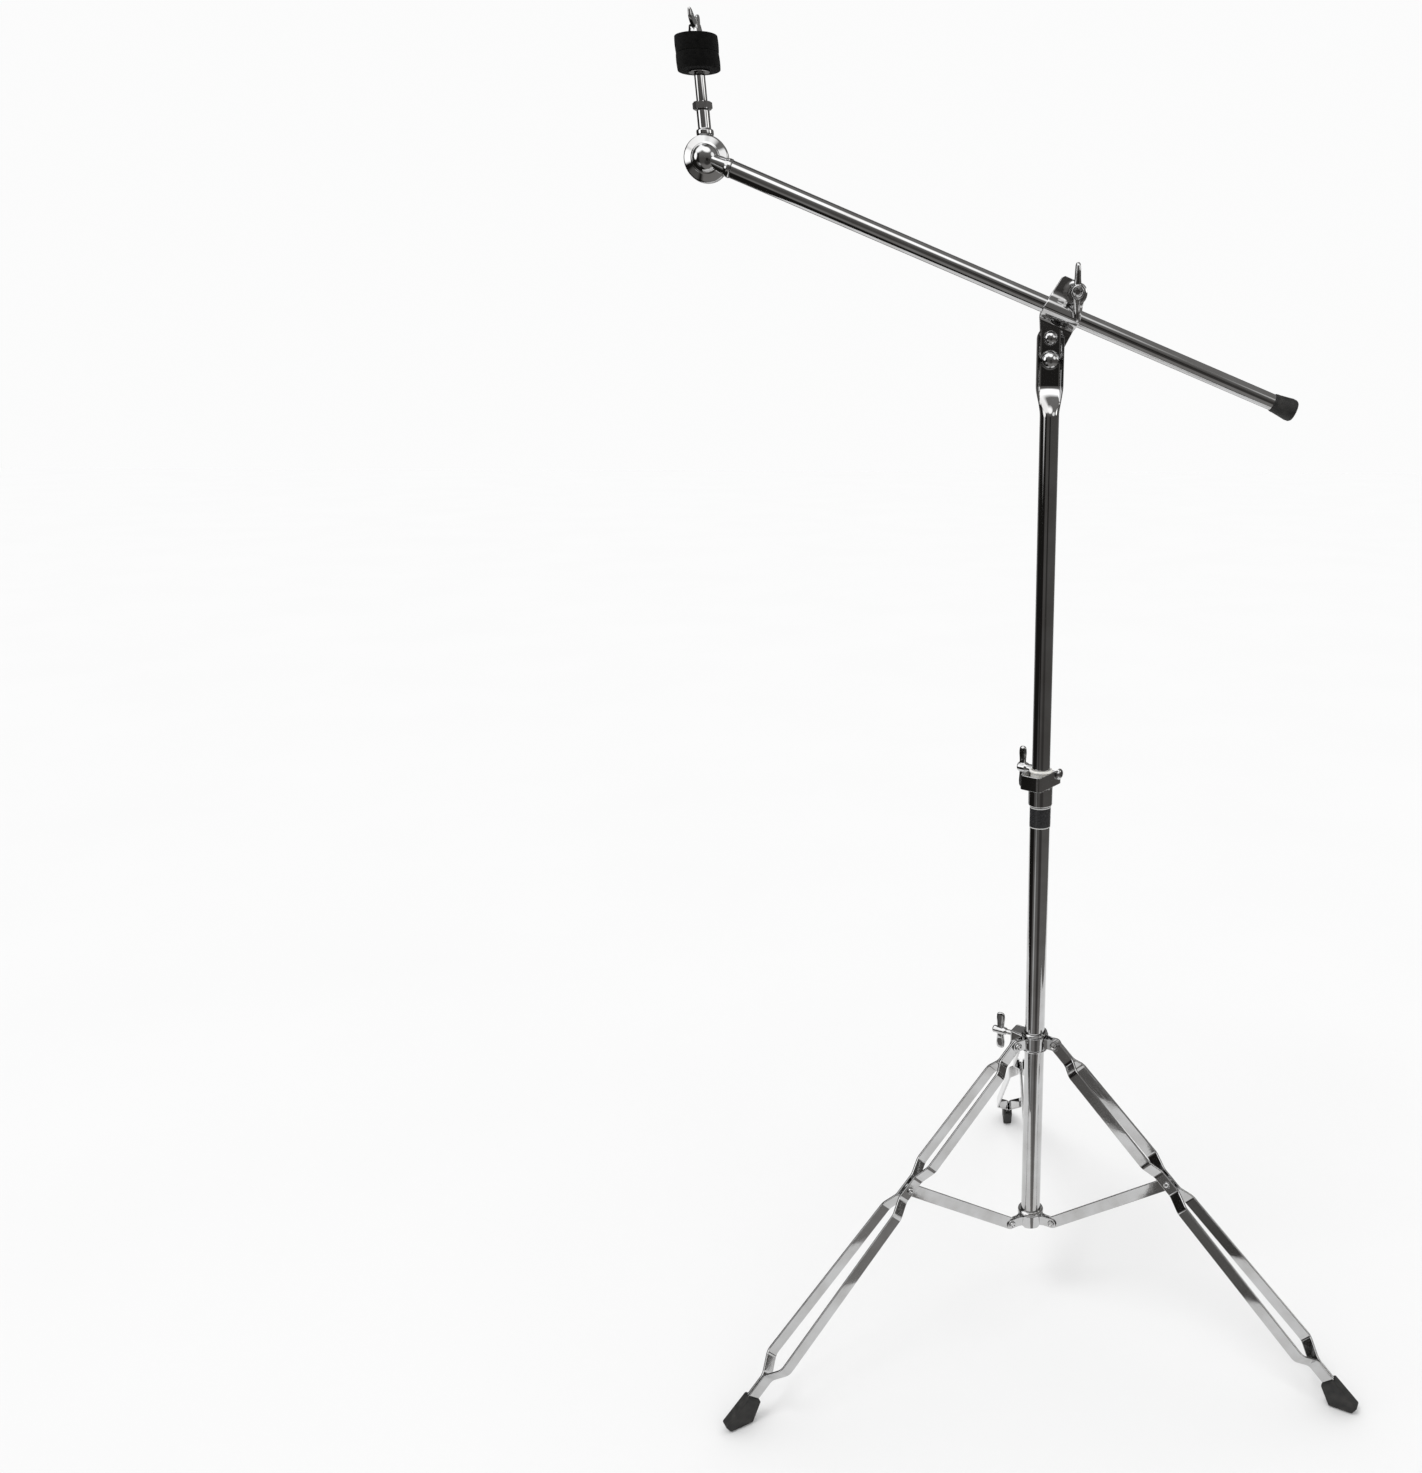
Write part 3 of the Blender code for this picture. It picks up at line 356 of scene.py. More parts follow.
def smooth_stations(stations, steps=5):
    """Pass a smooth curve through wing stations."""
    result = []
    last = len(stations) - 1
    for i in range(last):
        p0 = stations[max(0, i - 1)]
        p1 = stations[i]
        p2 = stations[i + 1]
        p3 = stations[min(last, i + 2)]
        for step in range(steps):
            t = step / steps
            mixed = []
            for a, b, c, d in zip(p0, p1, p2, p3):
                value = 2 * b + (c - a) * t + (2 * a - 5 * b + 4 * c - d) * t**2
                mixed.append(0.5 * (value + (3 * b - a - 3 * c + d) * t**3))
            result.append(tuple(mixed))
    return result + [tuple(stations[-1])]


def wing_blade(stations, power=0.62, points=28):
    """Loft a wing along X; each station is (x, half thickness, middle z, half width)."""
    rings = []
    for x, half_thickness, middle, half_width in smooth_stations(stations):
        ring = []
        for i in range(points):
            angle = 2 * math.pi * (i + 0.5) / points
            c = math.cos(angle)
            s = math.sin(angle)
            y = half_thickness * math.copysign(abs(c) ** power, c)
            ring.append((x, y, middle + half_width * math.copysign(abs(s) ** power, s)))
        rings.append(ring)
    return loft(rings)


def two_wings(reach, thickness, width, middle, rise=0.0, waist=0.62):
    """Both wings as one blade through the hub, rising towards the tips."""
    shares = [(1.0, 0.35, 0.3), (0.975, 0.62, 0.62), (0.9, 0.82, 0.88), (0.7, 0.95, 1.0)]
    shares += [(0.45, 1.05, 0.88), (0.22, 1.25, waist)]
    half = [(reach * x, thickness / 2 * t, middle + rise * x, width / 2 * w) for x, t, w in shares]
    return wing_blade([(-x, t, m, w) for x, t, m, w in half] + half[::-1])


def cast(name, hub, extra, hole=None, voxel=0.00034):
    """Join turned and bladed solids as one casting with soft inner corners."""
    obj = finish(hub, name)
    for bm in extra:
        cut(obj, bm, "UNION")
    if hole:
        drill(obj, *hole)
    remesh = obj.modifiers.new("remesh", "REMESH")
    remesh.mode = "VOXEL"
    remesh.voxel_size = voxel
    soften = obj.modifiers.new("soften", "SMOOTH")
    soften.factor = 0.5
    soften.iterations = 7
    settle(obj)
    obj.data.shade_smooth()
    return obj


def thumb_nut(name, bore):
    """The wing nut that is used behind the tilting clamp and behind the tilter."""
    nut = [(0, 0), (0.0072, 0), (0.0072, 0.0018), (0.0056, 0.0068), (0.0052, 0.0085), (0, 0.0085)]
    wings = two_wings(0.0185, 0.0038, 0.0095, 0.0058, 0.0055)
    return cast(name, spindle(nut, 0.0008, 64), [wings], (bore, -0.001, 0.02))


# Materials


class Nodes:
    """A short way to write a node tree."""

    def __init__(self, tree):
        self.tree = tree

    def add(self, kind, settings=None, **inputs):
        node = self.tree.nodes.new(kind)
        for key, value in (settings or {}).items():
            setattr(node, key, value)
        for key, value in inputs.items():
            self.put(node, key.replace("_", " "), value)
        return node

    def put(self, node, socket, value):
        target = node.inputs[socket]
        if isinstance(value, bpy.types.NodeSocket):
            self.tree.links.new(value, target)
        else:
            target.default_value = value

    def noise(self, scale, detail=4.0, stretch=(1, 1, 1)):
        """Noise in the object's own metres, stretched along its axes."""
        coords = self.add("ShaderNodeTexCoord").outputs["Object"]
        mapping = self.add("ShaderNodeMapping", None, Vector=coords, Scale=stretch)
        node = self.add("ShaderNodeTexNoise", None, Vector=mapping.outputs[0], Scale=scale, Detail=detail)
        return node.outputs["Fac"]

    def spread(self, value, low_in, high_in, low_out, high_out):
        node = self.add("ShaderNodeMapRange", None, Value=value)
        names = ("From Min", "From Max", "To Min", "To Max")
        for name, number in zip(names, (low_in, high_in, low_out, high_out)):
            node.inputs[name].default_value = number
        return node.outputs[0]

    def between(self, factor, first, second):
        """Mix two colours, each given as a colour or as a socket."""
        node = self.add("ShaderNodeMix", {"data_type": "RGBA"})
        self.tree.links.new(factor, node.inputs[0])
        for socket, colour in ((6, first), (7, second)):
            self.put(node, socket, (*colour, 1) if isinstance(colour, tuple) else colour)
        return node.outputs[2]

    def compute(self, operation, *values):
        node = self.add("ShaderNodeMath", {"operation": operation})
        for socket, value in enumerate(values):
            self.put(node, socket, value)
        return node.outputs[0]

    def bump(self, shader, height, strength, distance):
        node = self.add("ShaderNodeBump", None, Strength=strength, Distance=distance, Height=height)
        self.put(shader, "Normal", node.outputs[0])


def new_material(name):
    material = bpy.data.materials.new(name)
    material.use_nodes = True
    nodes = Nodes(material.node_tree)
    return material, nodes, material.node_tree.nodes["Principled BSDF"]


def chrome(name, roughness=0.05, peel=0.02, scale=260.0, stretch=(1, 1, 1), dark=(0.47, 0.465, 0.46)):
    """Chrome plate: faint orange peel, fine polishing marks and slight smudges."""
    material, nodes, shader = new_material(name)
    shader.inputs["Metallic"].default_value = 1.0
    smudge = nodes.noise(38.0, 5.0)
    polish = nodes.noise(900.0, 2.0, stretch)
    tint = nodes.spread(smudge, 0.35, 0.7, 0.0, 1.0)
    nodes.put(shader, "Base Color", nodes.between(tint, (0.575, 0.577, 0.58), dark))
    worn = nodes.spread(smudge, 0.45, 0.75, 0.0, 1.0)
    even = nodes.spread(polish, 0.3, 0.7, roughness * 0.6, roughness * 1.3)
    nodes.put(shader, "Roughness", nodes.compute("MULTIPLY_ADD", worn, roughness * 1.1, even))
    nodes.bump(shader, nodes.noise(scale, 3.0), peel, 0.0006)
    return material


def rubber(name):
    """Matte moulded rubber with dusty patches and a fine pebbled skin."""
    material, nodes, shader = new_material(name)
    patches = nodes.noise(120.0, 6.0)
    grain = nodes.noise(2600.0, 3.0)
    dust = nodes.spread(patches, 0.35, 0.72, 0.0, 1.0)
    nodes.put(shader, "Base Color", nodes.between(dust, (0.010, 0.010, 0.010), (0.034, 0.033, 0.031)))
    nodes.put(shader, "Roughness", nodes.spread(patches, 0.3, 0.7, 0.52, 0.74))
    shader.inputs["Specular IOR Level"].default_value = 0.35
    nodes.bump(shader, grain, 0.35, 0.0003)
    return material


def felt(name):
    """Dense black wool felt: short fibres, uneven nap and a little lint."""
    material, nodes, shader = new_material(name)
    nap = nodes.noise(340.0, 7.0)
    fibres = nodes.noise(3400.0, 4.0, (1, 1, 0.4))
    lint = nodes.spread(fibres, 0.66, 0.74, 0.0, 1.0)
    worn = nodes.spread(nap, 0.3, 0.75, 0.0, 1.0)
    base = nodes.between(worn, (0.0014, 0.0014, 0.0013), (0.0052, 0.0051, 0.0048))
    nodes.put(shader, "Base Color", nodes.between(lint, base, (0.014, 0.0135, 0.013)))
    shader.inputs["Roughness"].default_value = 0.95
    shader.inputs["Specular IOR Level"].default_value = 0.06
    shader.inputs["Sheen Weight"].default_value = 0.03
    shader.inputs["Sheen Roughness"].default_value = 0.6
    nodes.bump(shader, nodes.compute("ADD", nap, fibres), 0.8, 0.0006)
    return material


def nylon(name):
    """Natural nylon: milky, with faint flow marks."""
    material, nodes, shader = new_material(name)
    flow = nodes.noise(160.0, 4.0, (1, 1, 3))
    colour = nodes.between(nodes.spread(flow, 0.3, 0.7, 0.0, 1.0), (0.83, 0.82, 0.79), (0.72, 0.71, 0.67))
    nodes.put(shader, "Base Color", colour)
    nodes.put(shader, "Roughness", nodes.spread(flow, 0.3, 0.7, 0.3, 0.45))
    shader.inputs["Subsurface Weight"].default_value = 0.15
    shader.inputs["Subsurface Radius"].default_value = (0.002, 0.0018, 0.0015)
    shader.inputs["Subsurface Scale"].default_value = 0.5
    nodes.bump(shader, flow, 0.1, 0.0003)
    return material


def label_film(name, bottom, top):
    """A plain dark printed film with a thin bright line along each edge."""
    material, nodes, shader = new_material(name)
    coords = nodes.add("ShaderNodeTexCoord").outputs["Object"]
    height = nodes.add("ShaderNodeSeparateXYZ", None, Vector=coords).outputs["Z"]
    away = nodes.compute("ABSOLUTE", nodes.compute("SUBTRACT", height, (bottom + top) / 2))
    half = (top - bottom) / 2
    line = nodes.spread(away, half - 0.0012, half - 0.0009, 0.0, 1.0)
    faded = nodes.spread(nodes.noise(500.0, 5.0), 0.3, 0.7, 0.0, 1.0)
    ink = nodes.between(faded, (0.012, 0.012, 0.013), (0.028, 0.028, 0.030))
    nodes.put(shader, "Base Color", nodes.between(line, ink, (0.50, 0.50, 0.49)))
    nodes.put(shader, "Roughness", nodes.spread(nodes.noise(220.0, 4.0), 0.3, 0.7, 0.18, 0.34))
    shader.inputs["Coat Weight"].default_value = 0.5
    return material


LABEL_LOW, LABEL_HIGH = (corner.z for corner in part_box("label_band"))
TUBE_CHROME = chrome("tube_chrome", 0.045, 0.012, 90.0, (1, 1, 0.03))
BOOM_CHROME = chrome("boom_chrome", 0.05, 0.012, 90.0, (1, 1, 0.03))
SHEET_CHROME = chrome("sheet_chrome", 0.06, 0.035, 170.0, (0.05, 1, 1))
CAST_CHROME = chrome("cast_chrome", 0.085, 0.07, 420.0)
DOME_CHROME = chrome("dome_chrome", 0.05, 0.004, 120.0)
TURNED_CHROME = chrome("turned_chrome", 0.05, 0.012, 200.0, (1, 1, 12))
RUBBER = rubber("black_rubber")
FELT = felt("black_felt")
NYLON = nylon("white_nylon")
LABEL = label_film("label_film", LABEL_LOW, LABEL_HIGH)


# Tripod


def build_tubes():
    """Base tube, with its cut ends eased."""
    obj = finish(tube(BASE_RADIUS, 0.0099, BASE_BOTTOM, BASE_TOP), "lower_tube")
    show(even_normals(obj), STAND, TUBE_CHROME, "base", "base_tube")
    inner = BASE_RADIUS + GAP
    hub = [(inner, 0.1028), (0.0131, 0.1028), (0.0131, 0.1190, 0), (0.0148, 0.1194), (0.0152, 0.1206)]
    hub += [(0.0147, 0.1217), (0.0127, 0.1225), (0.0124, 0.1232), (inner, 0.1232)]
    show(even_normals(finish(sleeve(hub, 0.0006), "hub_ring")), STAND, TURNED_CHROME, "base", "hub_sleeve")
    inner = BASE_RADIUS + 0.0004
    collar = [(inner, 0.3352), (0.0136, 0.3348), (0.0147, 0.3353), (0.0150, 0.3366), (0.0146, 0.3377)]
    collar += [(0.0136, 0.3380, 0), (0.0136, 0.3542, 0), (0.0142, 0.3545), (0.0146, 0.3556)]
    collar += [(0.0142, 0.3567), (0.0130, 0.3572), (inner, 0.3569)]
    obj = finish(sleeve(collar, 0.0007), "collar_ring")
    show(even_normals(obj), STAND, TURNED_CHROME, "collar", "collar_sleeve")


def ear_stations(reach, radius, inner_end):
    """Distances along an ear from its tip inwards, close together where it is round."""
    shares = [math.cos(math.radians(a)) for a in range(4, 90, 8)]
    return [(reach + radius * s, s) for s in shares] + [(reach, 0.0), (inner_end + 0.0045, 0.0)]


def plate_path(size, box=None):
    """Plan of a plate between two legs 60 degrees either side of X, as (x, y, share of ear)."""
    arc_radius, reach, ear_radius, offset = size
    third = math.radians(60)
    inner_end = math.sqrt(arc_radius**2 - offset**2)
    points = []
    for along, share in ear_stations(reach, ear_radius, inner_end):
        x = along * math.cos(third) + offset * math.sin(third)
        y = along * math.sin(third) - offset * math.cos(third)
        points.append((x, y, share))
    corner = third - math.asin(offset / arc_radius)
    if box:
        out, width = box
        start = math.asin(width / arc_radius) + 0.07
        half = [(p.x, p.y, -1.0) for p in arc((0, 0), arc_radius, corner - 0.1, start, 4)]
        half += [(out - 0.0022, width, -1.0), (out - 0.0009, width - 0.0004, -1.0)]
        half += [(out - 0.0002, width - 0.0012, -1.0), (out, width - 0.0024, -1.0)]
        middle = half + [(x, -y, s) for x, y, s in reversed(half)]
    else:
        middle = [(p.x, p.y, -1.0) for p in arc((0, 0), arc_radius, corner - 0.1, 0.1 - corner, 28)]
    return points + middle + [(x, -y, s) for x, y, s in reversed(points)]


def pressed_plate(name, level, half_height, size, box=None):
    """A bent plate whose ears are round and narrower than its middle."""
    path = plate_path(size, box)
    ear_radius = size[2]
    plan = [Vector((x, y)) for x, y, _ in path]
    ends = [i for i, (_, _, share) in enumerate(path) if share < 0]
    first, last = ends[0], ends[-1]

    def heights(i):
        share = path[i][2]
        if share < 0:
            reach = min((plan[i] - plan[first]).length, (plan[i] - plan[last]).length)
            t = min(1.0, reach / 0.004)
            half = ear_radius + (half_height - ear_radius) * t * t * (3 - 2 * t)
        else:
            half = ear_radius * math.sqrt(max(0.012, 1 - share**2))
        return level - half, level + half

    return finish(ribbon(plan, PLATE, heights, 0.0005), name)


def rivet(name, half, shank, head, height, ring=True):
    """A rivet along Z; its head may be dished in the middle like a tubular rivet's."""
    side = [(shank, half), (head * 0.96, half, 0), (head, half + height * 0.25)]
    side += [(head * 0.86, half + height * 0.9)]
    if ring:
        side += [(head * 0.62, half + height), (head * 0.45, half + height * 0.45), (0, half + height * 0.35)]
    else:
        side += [(head * 0.5, half + height), (0, half + height)]
    below = [(r, -z, *rest) for r, z, *rest in reversed(side)]
    return finish(spindle(below + side, 0.0005, 40), name)


def strip_path(side):
    """Plan of one leg strip: beside its twin at both ends, pinched at the middle pin."""
    closed = STRIP_THICKNESS / 2 + GAP / 2
    bends = [
        (-STRIP_HEIGHT / 2, closed),
        (0.0255, closed),
        (0.0375, 0.0095),
        (0.163, 0.011),
        (0.1805, 0.003),
        (0.2075, 0.003),
        (0.2245, 0.012),
        (0.418, 0.0174),
        (0.4365, closed),
        (STRIP_END, closed),
    ]
    return rounded([(x, side * y) for x, y in bends], 0.012, 8)


def round_end_stations(path, half_height, start=True, end=False):
    """Add stations near round ends, and subdivide the straight runs."""
    shares = [1 - math.cos(math.radians(a)) for a in range(9, 91, 9)]
    points = list(path)
    if start:
        direction = (points[1] - points[0]).normalized()
        points[1:1] = [points[0] + direction * (half_height * s) for s in shares]
    if end:
        direction = (points[-2] - points[-1]).normalized()
        points[-1:-1] = [points[-1] + direction * (half_height * s) for s in reversed(shares)]
    return points


def bar(path, thickness, half_height, start, end, edge):
    """A flat bar along a path, with round ends where asked."""
    path = round_end_stations(path, half_height, start, end)
    first = path[0].x + half_height
    last = path[-1].x - half_height

    def heights(i):
        x = path[i].x
        over = 0.0
        if start and x < first:
            over = (first - x) / half_height
        if end and x > last:
            over = max(over, (x - last) / half_height)
        half = half_height * math.sqrt(max(0.01, 1 - over**2))
        return -half, half

    return ribbon(path, thickness, heights, edge)


def build_leg(name, azimuth):
    """Two bowed strips, both halves of the middle pin and the rubber foot."""
    body = f"leg_{name}"
    turn = at(STAND, (0, 0, 0), (0, 0, math.radians(azimuth)))
    hinge = at(turn, (COLLAR_REACH, 0, COLLAR_Z), (0, LEG_SLOPE, 0))
    for side, which, facing in ((1, "a", ALONG_Y), (-1, "b", TO_FRONT)):
        shape = bar(strip_path(side), STRIP_THICKNESS, STRIP_HEIGHT / 2, True, False, 0.0009)
        strip = even_normals(finish(shape, f"{body}_bar_{which}"))
        show(strip, hinge, SHEET_CHROME, body, f"{body}_strip_{which}")
        head = [(0, 0.0019), (0.0024, 0.0019), (0.0024, 0.0045, 0), (0.0037, 0.0045), (0.0038, 0.0052)]
        head += [(0.0032, 0.0061), (0.0021, 0.0062), (0.0015, 0.0053), (0, 0.0052)]
        pin = finish(spindle(head, 0.0004, 40), f"{body}_rivet_{which}")
        show(pin, at(hinge, (MID_PIN_ALONG, 0, 0), facing), TURNED_CHROME, body, f"{body}_pin_{which}")
    build_foot(body, turn, hinge)


def build_foot(body, turn, hinge):
    """A moulded shoe: five-sided from the side, rounded all over, with a pocket for the strips."""
    corners = [(0.3615, 0.0), (0.3868, 0.0), (0.3918, 0.0083), (0.3644, 0.0332), (0.3515, 0.0218)]
    outline = rounded(corners, 0.0022, 6, True)
    shoe = finish(slab(outline, -0.006, 0.006, 0.0017, 5), f"{body}_shoe")
    wide = STRIP_THICKNESS + GAP * 1.5
    tall = STRIP_HEIGHT / 2 + GAP
    pocket = slab(oblong(0.45, STRIP_END + 0.0005, wide), -tall, tall, 0.0001, 1)
    to_shoe = at(turn, (0, 0, 0), TO_FRONT).inverted() @ hinge
    bmesh.ops.transform(pocket, matrix=to_shoe, verts=pocket.verts)
    cut(shoe, pocket)
    shoe = even_normals(resharpen(shoe, 50))
    show(shoe, at(turn, (0, 0, 0), TO_FRONT), RUBBER, body, f"{body}_foot")


def build_brace(name, azimuth):
    """A flat bar with round ends, from the hub to the middle of a leg."""
    rise = COLLAR_Z - MID_PIN_ALONG * math.sin(LEG_SLOPE) - HUB_Z
    run = COLLAR_REACH + MID_PIN_ALONG * math.cos(LEG_SLOPE) - HUB_REACH
    half = STRIP_HEIGHT / 2
    path = [Vector((-half, 0)), Vector((math.hypot(rise, run) + half, 0))]
    turn = at(STAND, (0, 0, 0), (0, 0, math.radians(azimuth)))
    hinge = at(turn, (HUB_REACH, 0, HUB_Z), (0, -math.atan2(rise, run), 0))
    obj = even_normals(finish(bar(path, BRACE_THICKNESS, half, True, True, 0.0008), f"{name}_stay"))
    show(obj, hinge, SHEET_CHROME, f"brace_{name}", f"brace_{name}")


def build_plates():
    """Plates and pins of the hub and the collar, and the collar's wing screw."""
    ear = STRIP_THICKNESS + GAP * 1.5 + PLATE / 2
    hub_ear = BRACE_THICKNESS / 2 + GAP + PLATE / 2
    collar_size = (0.01475, COLLAR_REACH, 0.0062, ear)
    hub_size = (0.0142, HUB_REACH, 0.0058, hub_ear)
    for name, azimuth in LEG_AZIMUTHS.items():
        turn = at(STAND, (0, 0, 0), (0, 0, math.radians(azimuth)))
        pin = rivet(f"collar_{name}_rivet", ear + PLATE / 2 + GAP, 0.0024, 0.0043, 0.0019)
        place = at(turn, (COLLAR_REACH, 0, COLLAR_Z), ALONG_Y)
        show(pin, place, TURNED_CHROME, "collar", f"collar_pin_{name}")
        pin = rivet(f"hub_{name}_rivet", hub_ear + PLATE / 2 + GAP, 0.0024, 0.0040, 0.0017)
        show(pin, at(turn, (HUB_REACH, 0, HUB_Z), ALONG_Y), TURNED_CHROME, "base", f"hub_pin_{name}")
    for name, azimuth in {"front": 270, "left": 150, "right": 30}.items():
        turn = at(STAND, (0, 0, 0), (0, 0, math.radians(azimuth)))
        plate = even_normals(pressed_plate(f"hub_{name}_ears", HUB_Z, 0.0078, hub_size))
        show(plate, turn, SHEET_CHROME, "base", f"hub_plate_{name}")
        if name != "left":
            plate = even_normals(pressed_plate(f"collar_{name}_ears", COLLAR_Z, 0.00775, collar_size))
            show(plate, turn, SHEET_CHROME, "collar", f"collar_plate_{name}")
            continue
        out, width = 0.0263, 0.0085
        plate = pressed_plate("collar_lock_ears", COLLAR_Z, 0.00775, collar_size, (out, width))
        roof = arc((0, 0), 0.0149, -0.6, 0.6, 16)
        roof += [Vector((out, width - 0.002)), Vector((out, 0.002 - width))]
        cut(plate, slab(roof, COLLAR_Z + 0.0062, COLLAR_Z + 0.0077, 0.0004, 2), "UNION")
        drill(plate, 0.0034, -0.004, 0.004, at(Matrix(), (out, 0, COLLAR_Z + 0.0005), ALONG_X))
        show(even_normals(resharpen(plate)), turn, SHEET_CHROME, "collar", "collar_lock_plate")
        build_collar_screw(turn)


def build_collar_screw(turn):
    """The T screw: a plain barrel with a flat blade above and below."""
    barrel = [(0, -0.0204), (0.003, -0.0204), (0.003, 0.0, 0), (0.0036, 0.0002), (0.0042, 0.0014)]
    barrel += [(0.0042, 0.0160), (0.0034, 0.0173), (0, 0.0175)]
    wings = two_wings(0.0225, 0.0038, 0.0105, 0.0078, 0.0, 0.8)
    obj = cast("collar_thumb_screw", spindle(barrel, 0.0005, 64), [wings])
    place = at(turn, (0.0352, 0, COLLAR_Z + 0.0005), ALONG_X)
    show(obj, place, CAST_CHROME, "collar_screw", "collar_wing_screw")


# Height clamp


def build_height_clamp():
    """Ring, strap, cross-head screw, wing nut, bush and the plain band below them."""
    inner = BASE_RADIUS + GAP
    ring = [(inner, 0.6286), (0.0121, 0.6286), (0.0129, 0.6297), (0.0129, 0.6490)]
    ring += [(0.0124, 0.6496), (inner, 0.6496)]
    obj = even_normals(finish(sleeve(ring, 0.0009), "clamp_ring"))
    show(obj, STAND, TURNED_CHROME, "base", "height_clamp_ring")

    start, end = math.radians(-168), math.radians(24)
    band = arc((0, 0), BASE_RADIUS + 0.0002, start, end, 60)
    band += arc((0, 0), BASE_RADIUS + 0.0006, end, start, 60)
    obj = finish(slab(band, LABEL_LOW, LABEL_HIGH, 0.0001, 1), "plain_band")
    show(even_normals(obj), STAND, LABEL, "base", "label_band")

    turn = at(STAND, (0, 0, 0), (0, 0, CLAMP_TURN))
    strap_low, strap_high = (corner.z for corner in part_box("height_clamp_strap"))
    half = 0.01215
    path = rounded([(half, 0.0195), (half, -0.0222), (-half, -0.0222), (-half, 0.0195)], 0.0042, 10)
    strap = finish(ribbon(path, PLATE, lambda i: (strap_low, strap_high), 0.0005), "clamp_strap")
    screw = (0, 0.015, JOINTS["height_nut_turn"]["pos_m"][2])
    drill(strap, 0.0029, -0.02, 0.02, at(Matrix(), screw, ALONG_X))
    show(even_normals(resharpen(strap)), turn, SHEET_CHROME, "base", "height_clamp_strap")

    body = [(0, -0.0385), (0.0021, -0.0385), (0.0025, -0.0380), (0.0025, 0.0133, 0), (0.006, 0.0133)]
    body += [(0.006, 0.0145, 0), (0.0056, 0.0147, 0)] + cap_points(0.0056, 0.0022, 0.0147)[1:]
    obj = finish(spindle(body, 0.0002, 64), "cross_screw")
    for turn_by in (0, math.pi / 2):
        slot = slab(oblong(-0.0026, 0.0026, 0.0006), 0.0155, 0.0175, 0.0001, 1)
        bmesh.ops.rotate(slot, cent=(0, 0, 0), matrix=Matrix.Rotation(turn_by, 3, "Z"), verts=slot.verts)
        cut(obj, slot)
    place = at(turn, screw, ALONG_X)
    show(even_normals(resharpen(obj)), place, TURNED_CHROME, "base", "height_clamp_screw")

    nut = [(0, 0.0133), (0.0055, 0.0133), (0.0055, 0.0148), (0.0044, 0.0175), (0.0042, 0.0255)]
    nut += [(0.0054, 0.028), (0.0054, 0.0365), (0.0046, 0.0375), (0, 0.0375)]
    wings = two_wings(0.0235, 0.0048, 0.0085, 0.0325, 0.0, 0.75)
    obj = cast("height_thumb_nut", spindle(nut, 0.0008, 64), [wings], (0.0028, 0.01, 0.0388))
    show(obj, at(turn, screw, (0, -math.pi / 2, 0)), CAST_CHROME, "height_nut", "height_wing_nut")

    bore = MIDDLE_RADIUS + GAP
    bush = [(bore, 0.6496), (0.0111, 0.6496), (0.0111, 0.6663, 0), (0.0126, 0.6663), (0.0126, 0.6679)]
    bush += [(0.0118, 0.6687), (bore, 0.6687)]
    obj = finish(sleeve(bush, 0.0005), "nylon_bush")
    show(even_normals(obj), STAND, NYLON, "bush", "height_bush")


# Middle tube


def trough_section():
    """The pressed head's middle line in plan, with its lengths, for head_ring."""
    wall = HEAD_HALF_WIDTH - HEAD_THICKNESS / 2
    rear = HEAD_REAR - HEAD_THICKNESS / 2
    line = rounded([(-wall, 0.0002), (-wall, rear), (wall, rear), (wall, 0.0002)], 0.0058, 10)
    lengths = [0.0]
    for a, b in zip(line, line[1:]):
        lengths.append(lengths[-1] + (b - a).length)
    return line, lengths


TROUGH = trough_section()


def along_trough(share):
    """Point and rearward normal on the trough's middle line at a share of its length."""
    line, lengths = TROUGH
    distance = share * lengths[-1]
    i = 0
    while i < len(line) - 2 and distance > lengths[i + 1]:
        i += 1
    t = min(1.0, max(0.0, (distance - lengths[i]) / (lengths[i + 1] - lengths[i])))
    direction = (line[i + 1] - line[i]).normalized()
    return line[i].lerp(line[i + 1], t), Vector((-direction.y, direction.x))


def head_ring(share, thickness, count=112):
    """Section of the middle tube: round at share 0, a shallow trough at share 1."""
    ring = []
    for i in range(count):
        angle = 2 * math.pi * (i + 0.5) / count
        radius = MIDDLE_RADIUS - (HEAD_THICKNESS / 2 - thickness)
        circle = Vector((-radius * math.cos(angle), radius * math.sin(angle)))
        rear = angle < math.pi
        place, side = along_trough(angle / math.pi if rear else 2 - angle / math.pi)
        edge = math.sqrt(abs(math.sin(angle)))
        blend = 1 - share * (1 - min(1.0, edge * 1.6))
        pressed = place + side * (thickness if rear else -thickness) * blend
        ring.append(circle.lerp(pressed, share))
    return ring


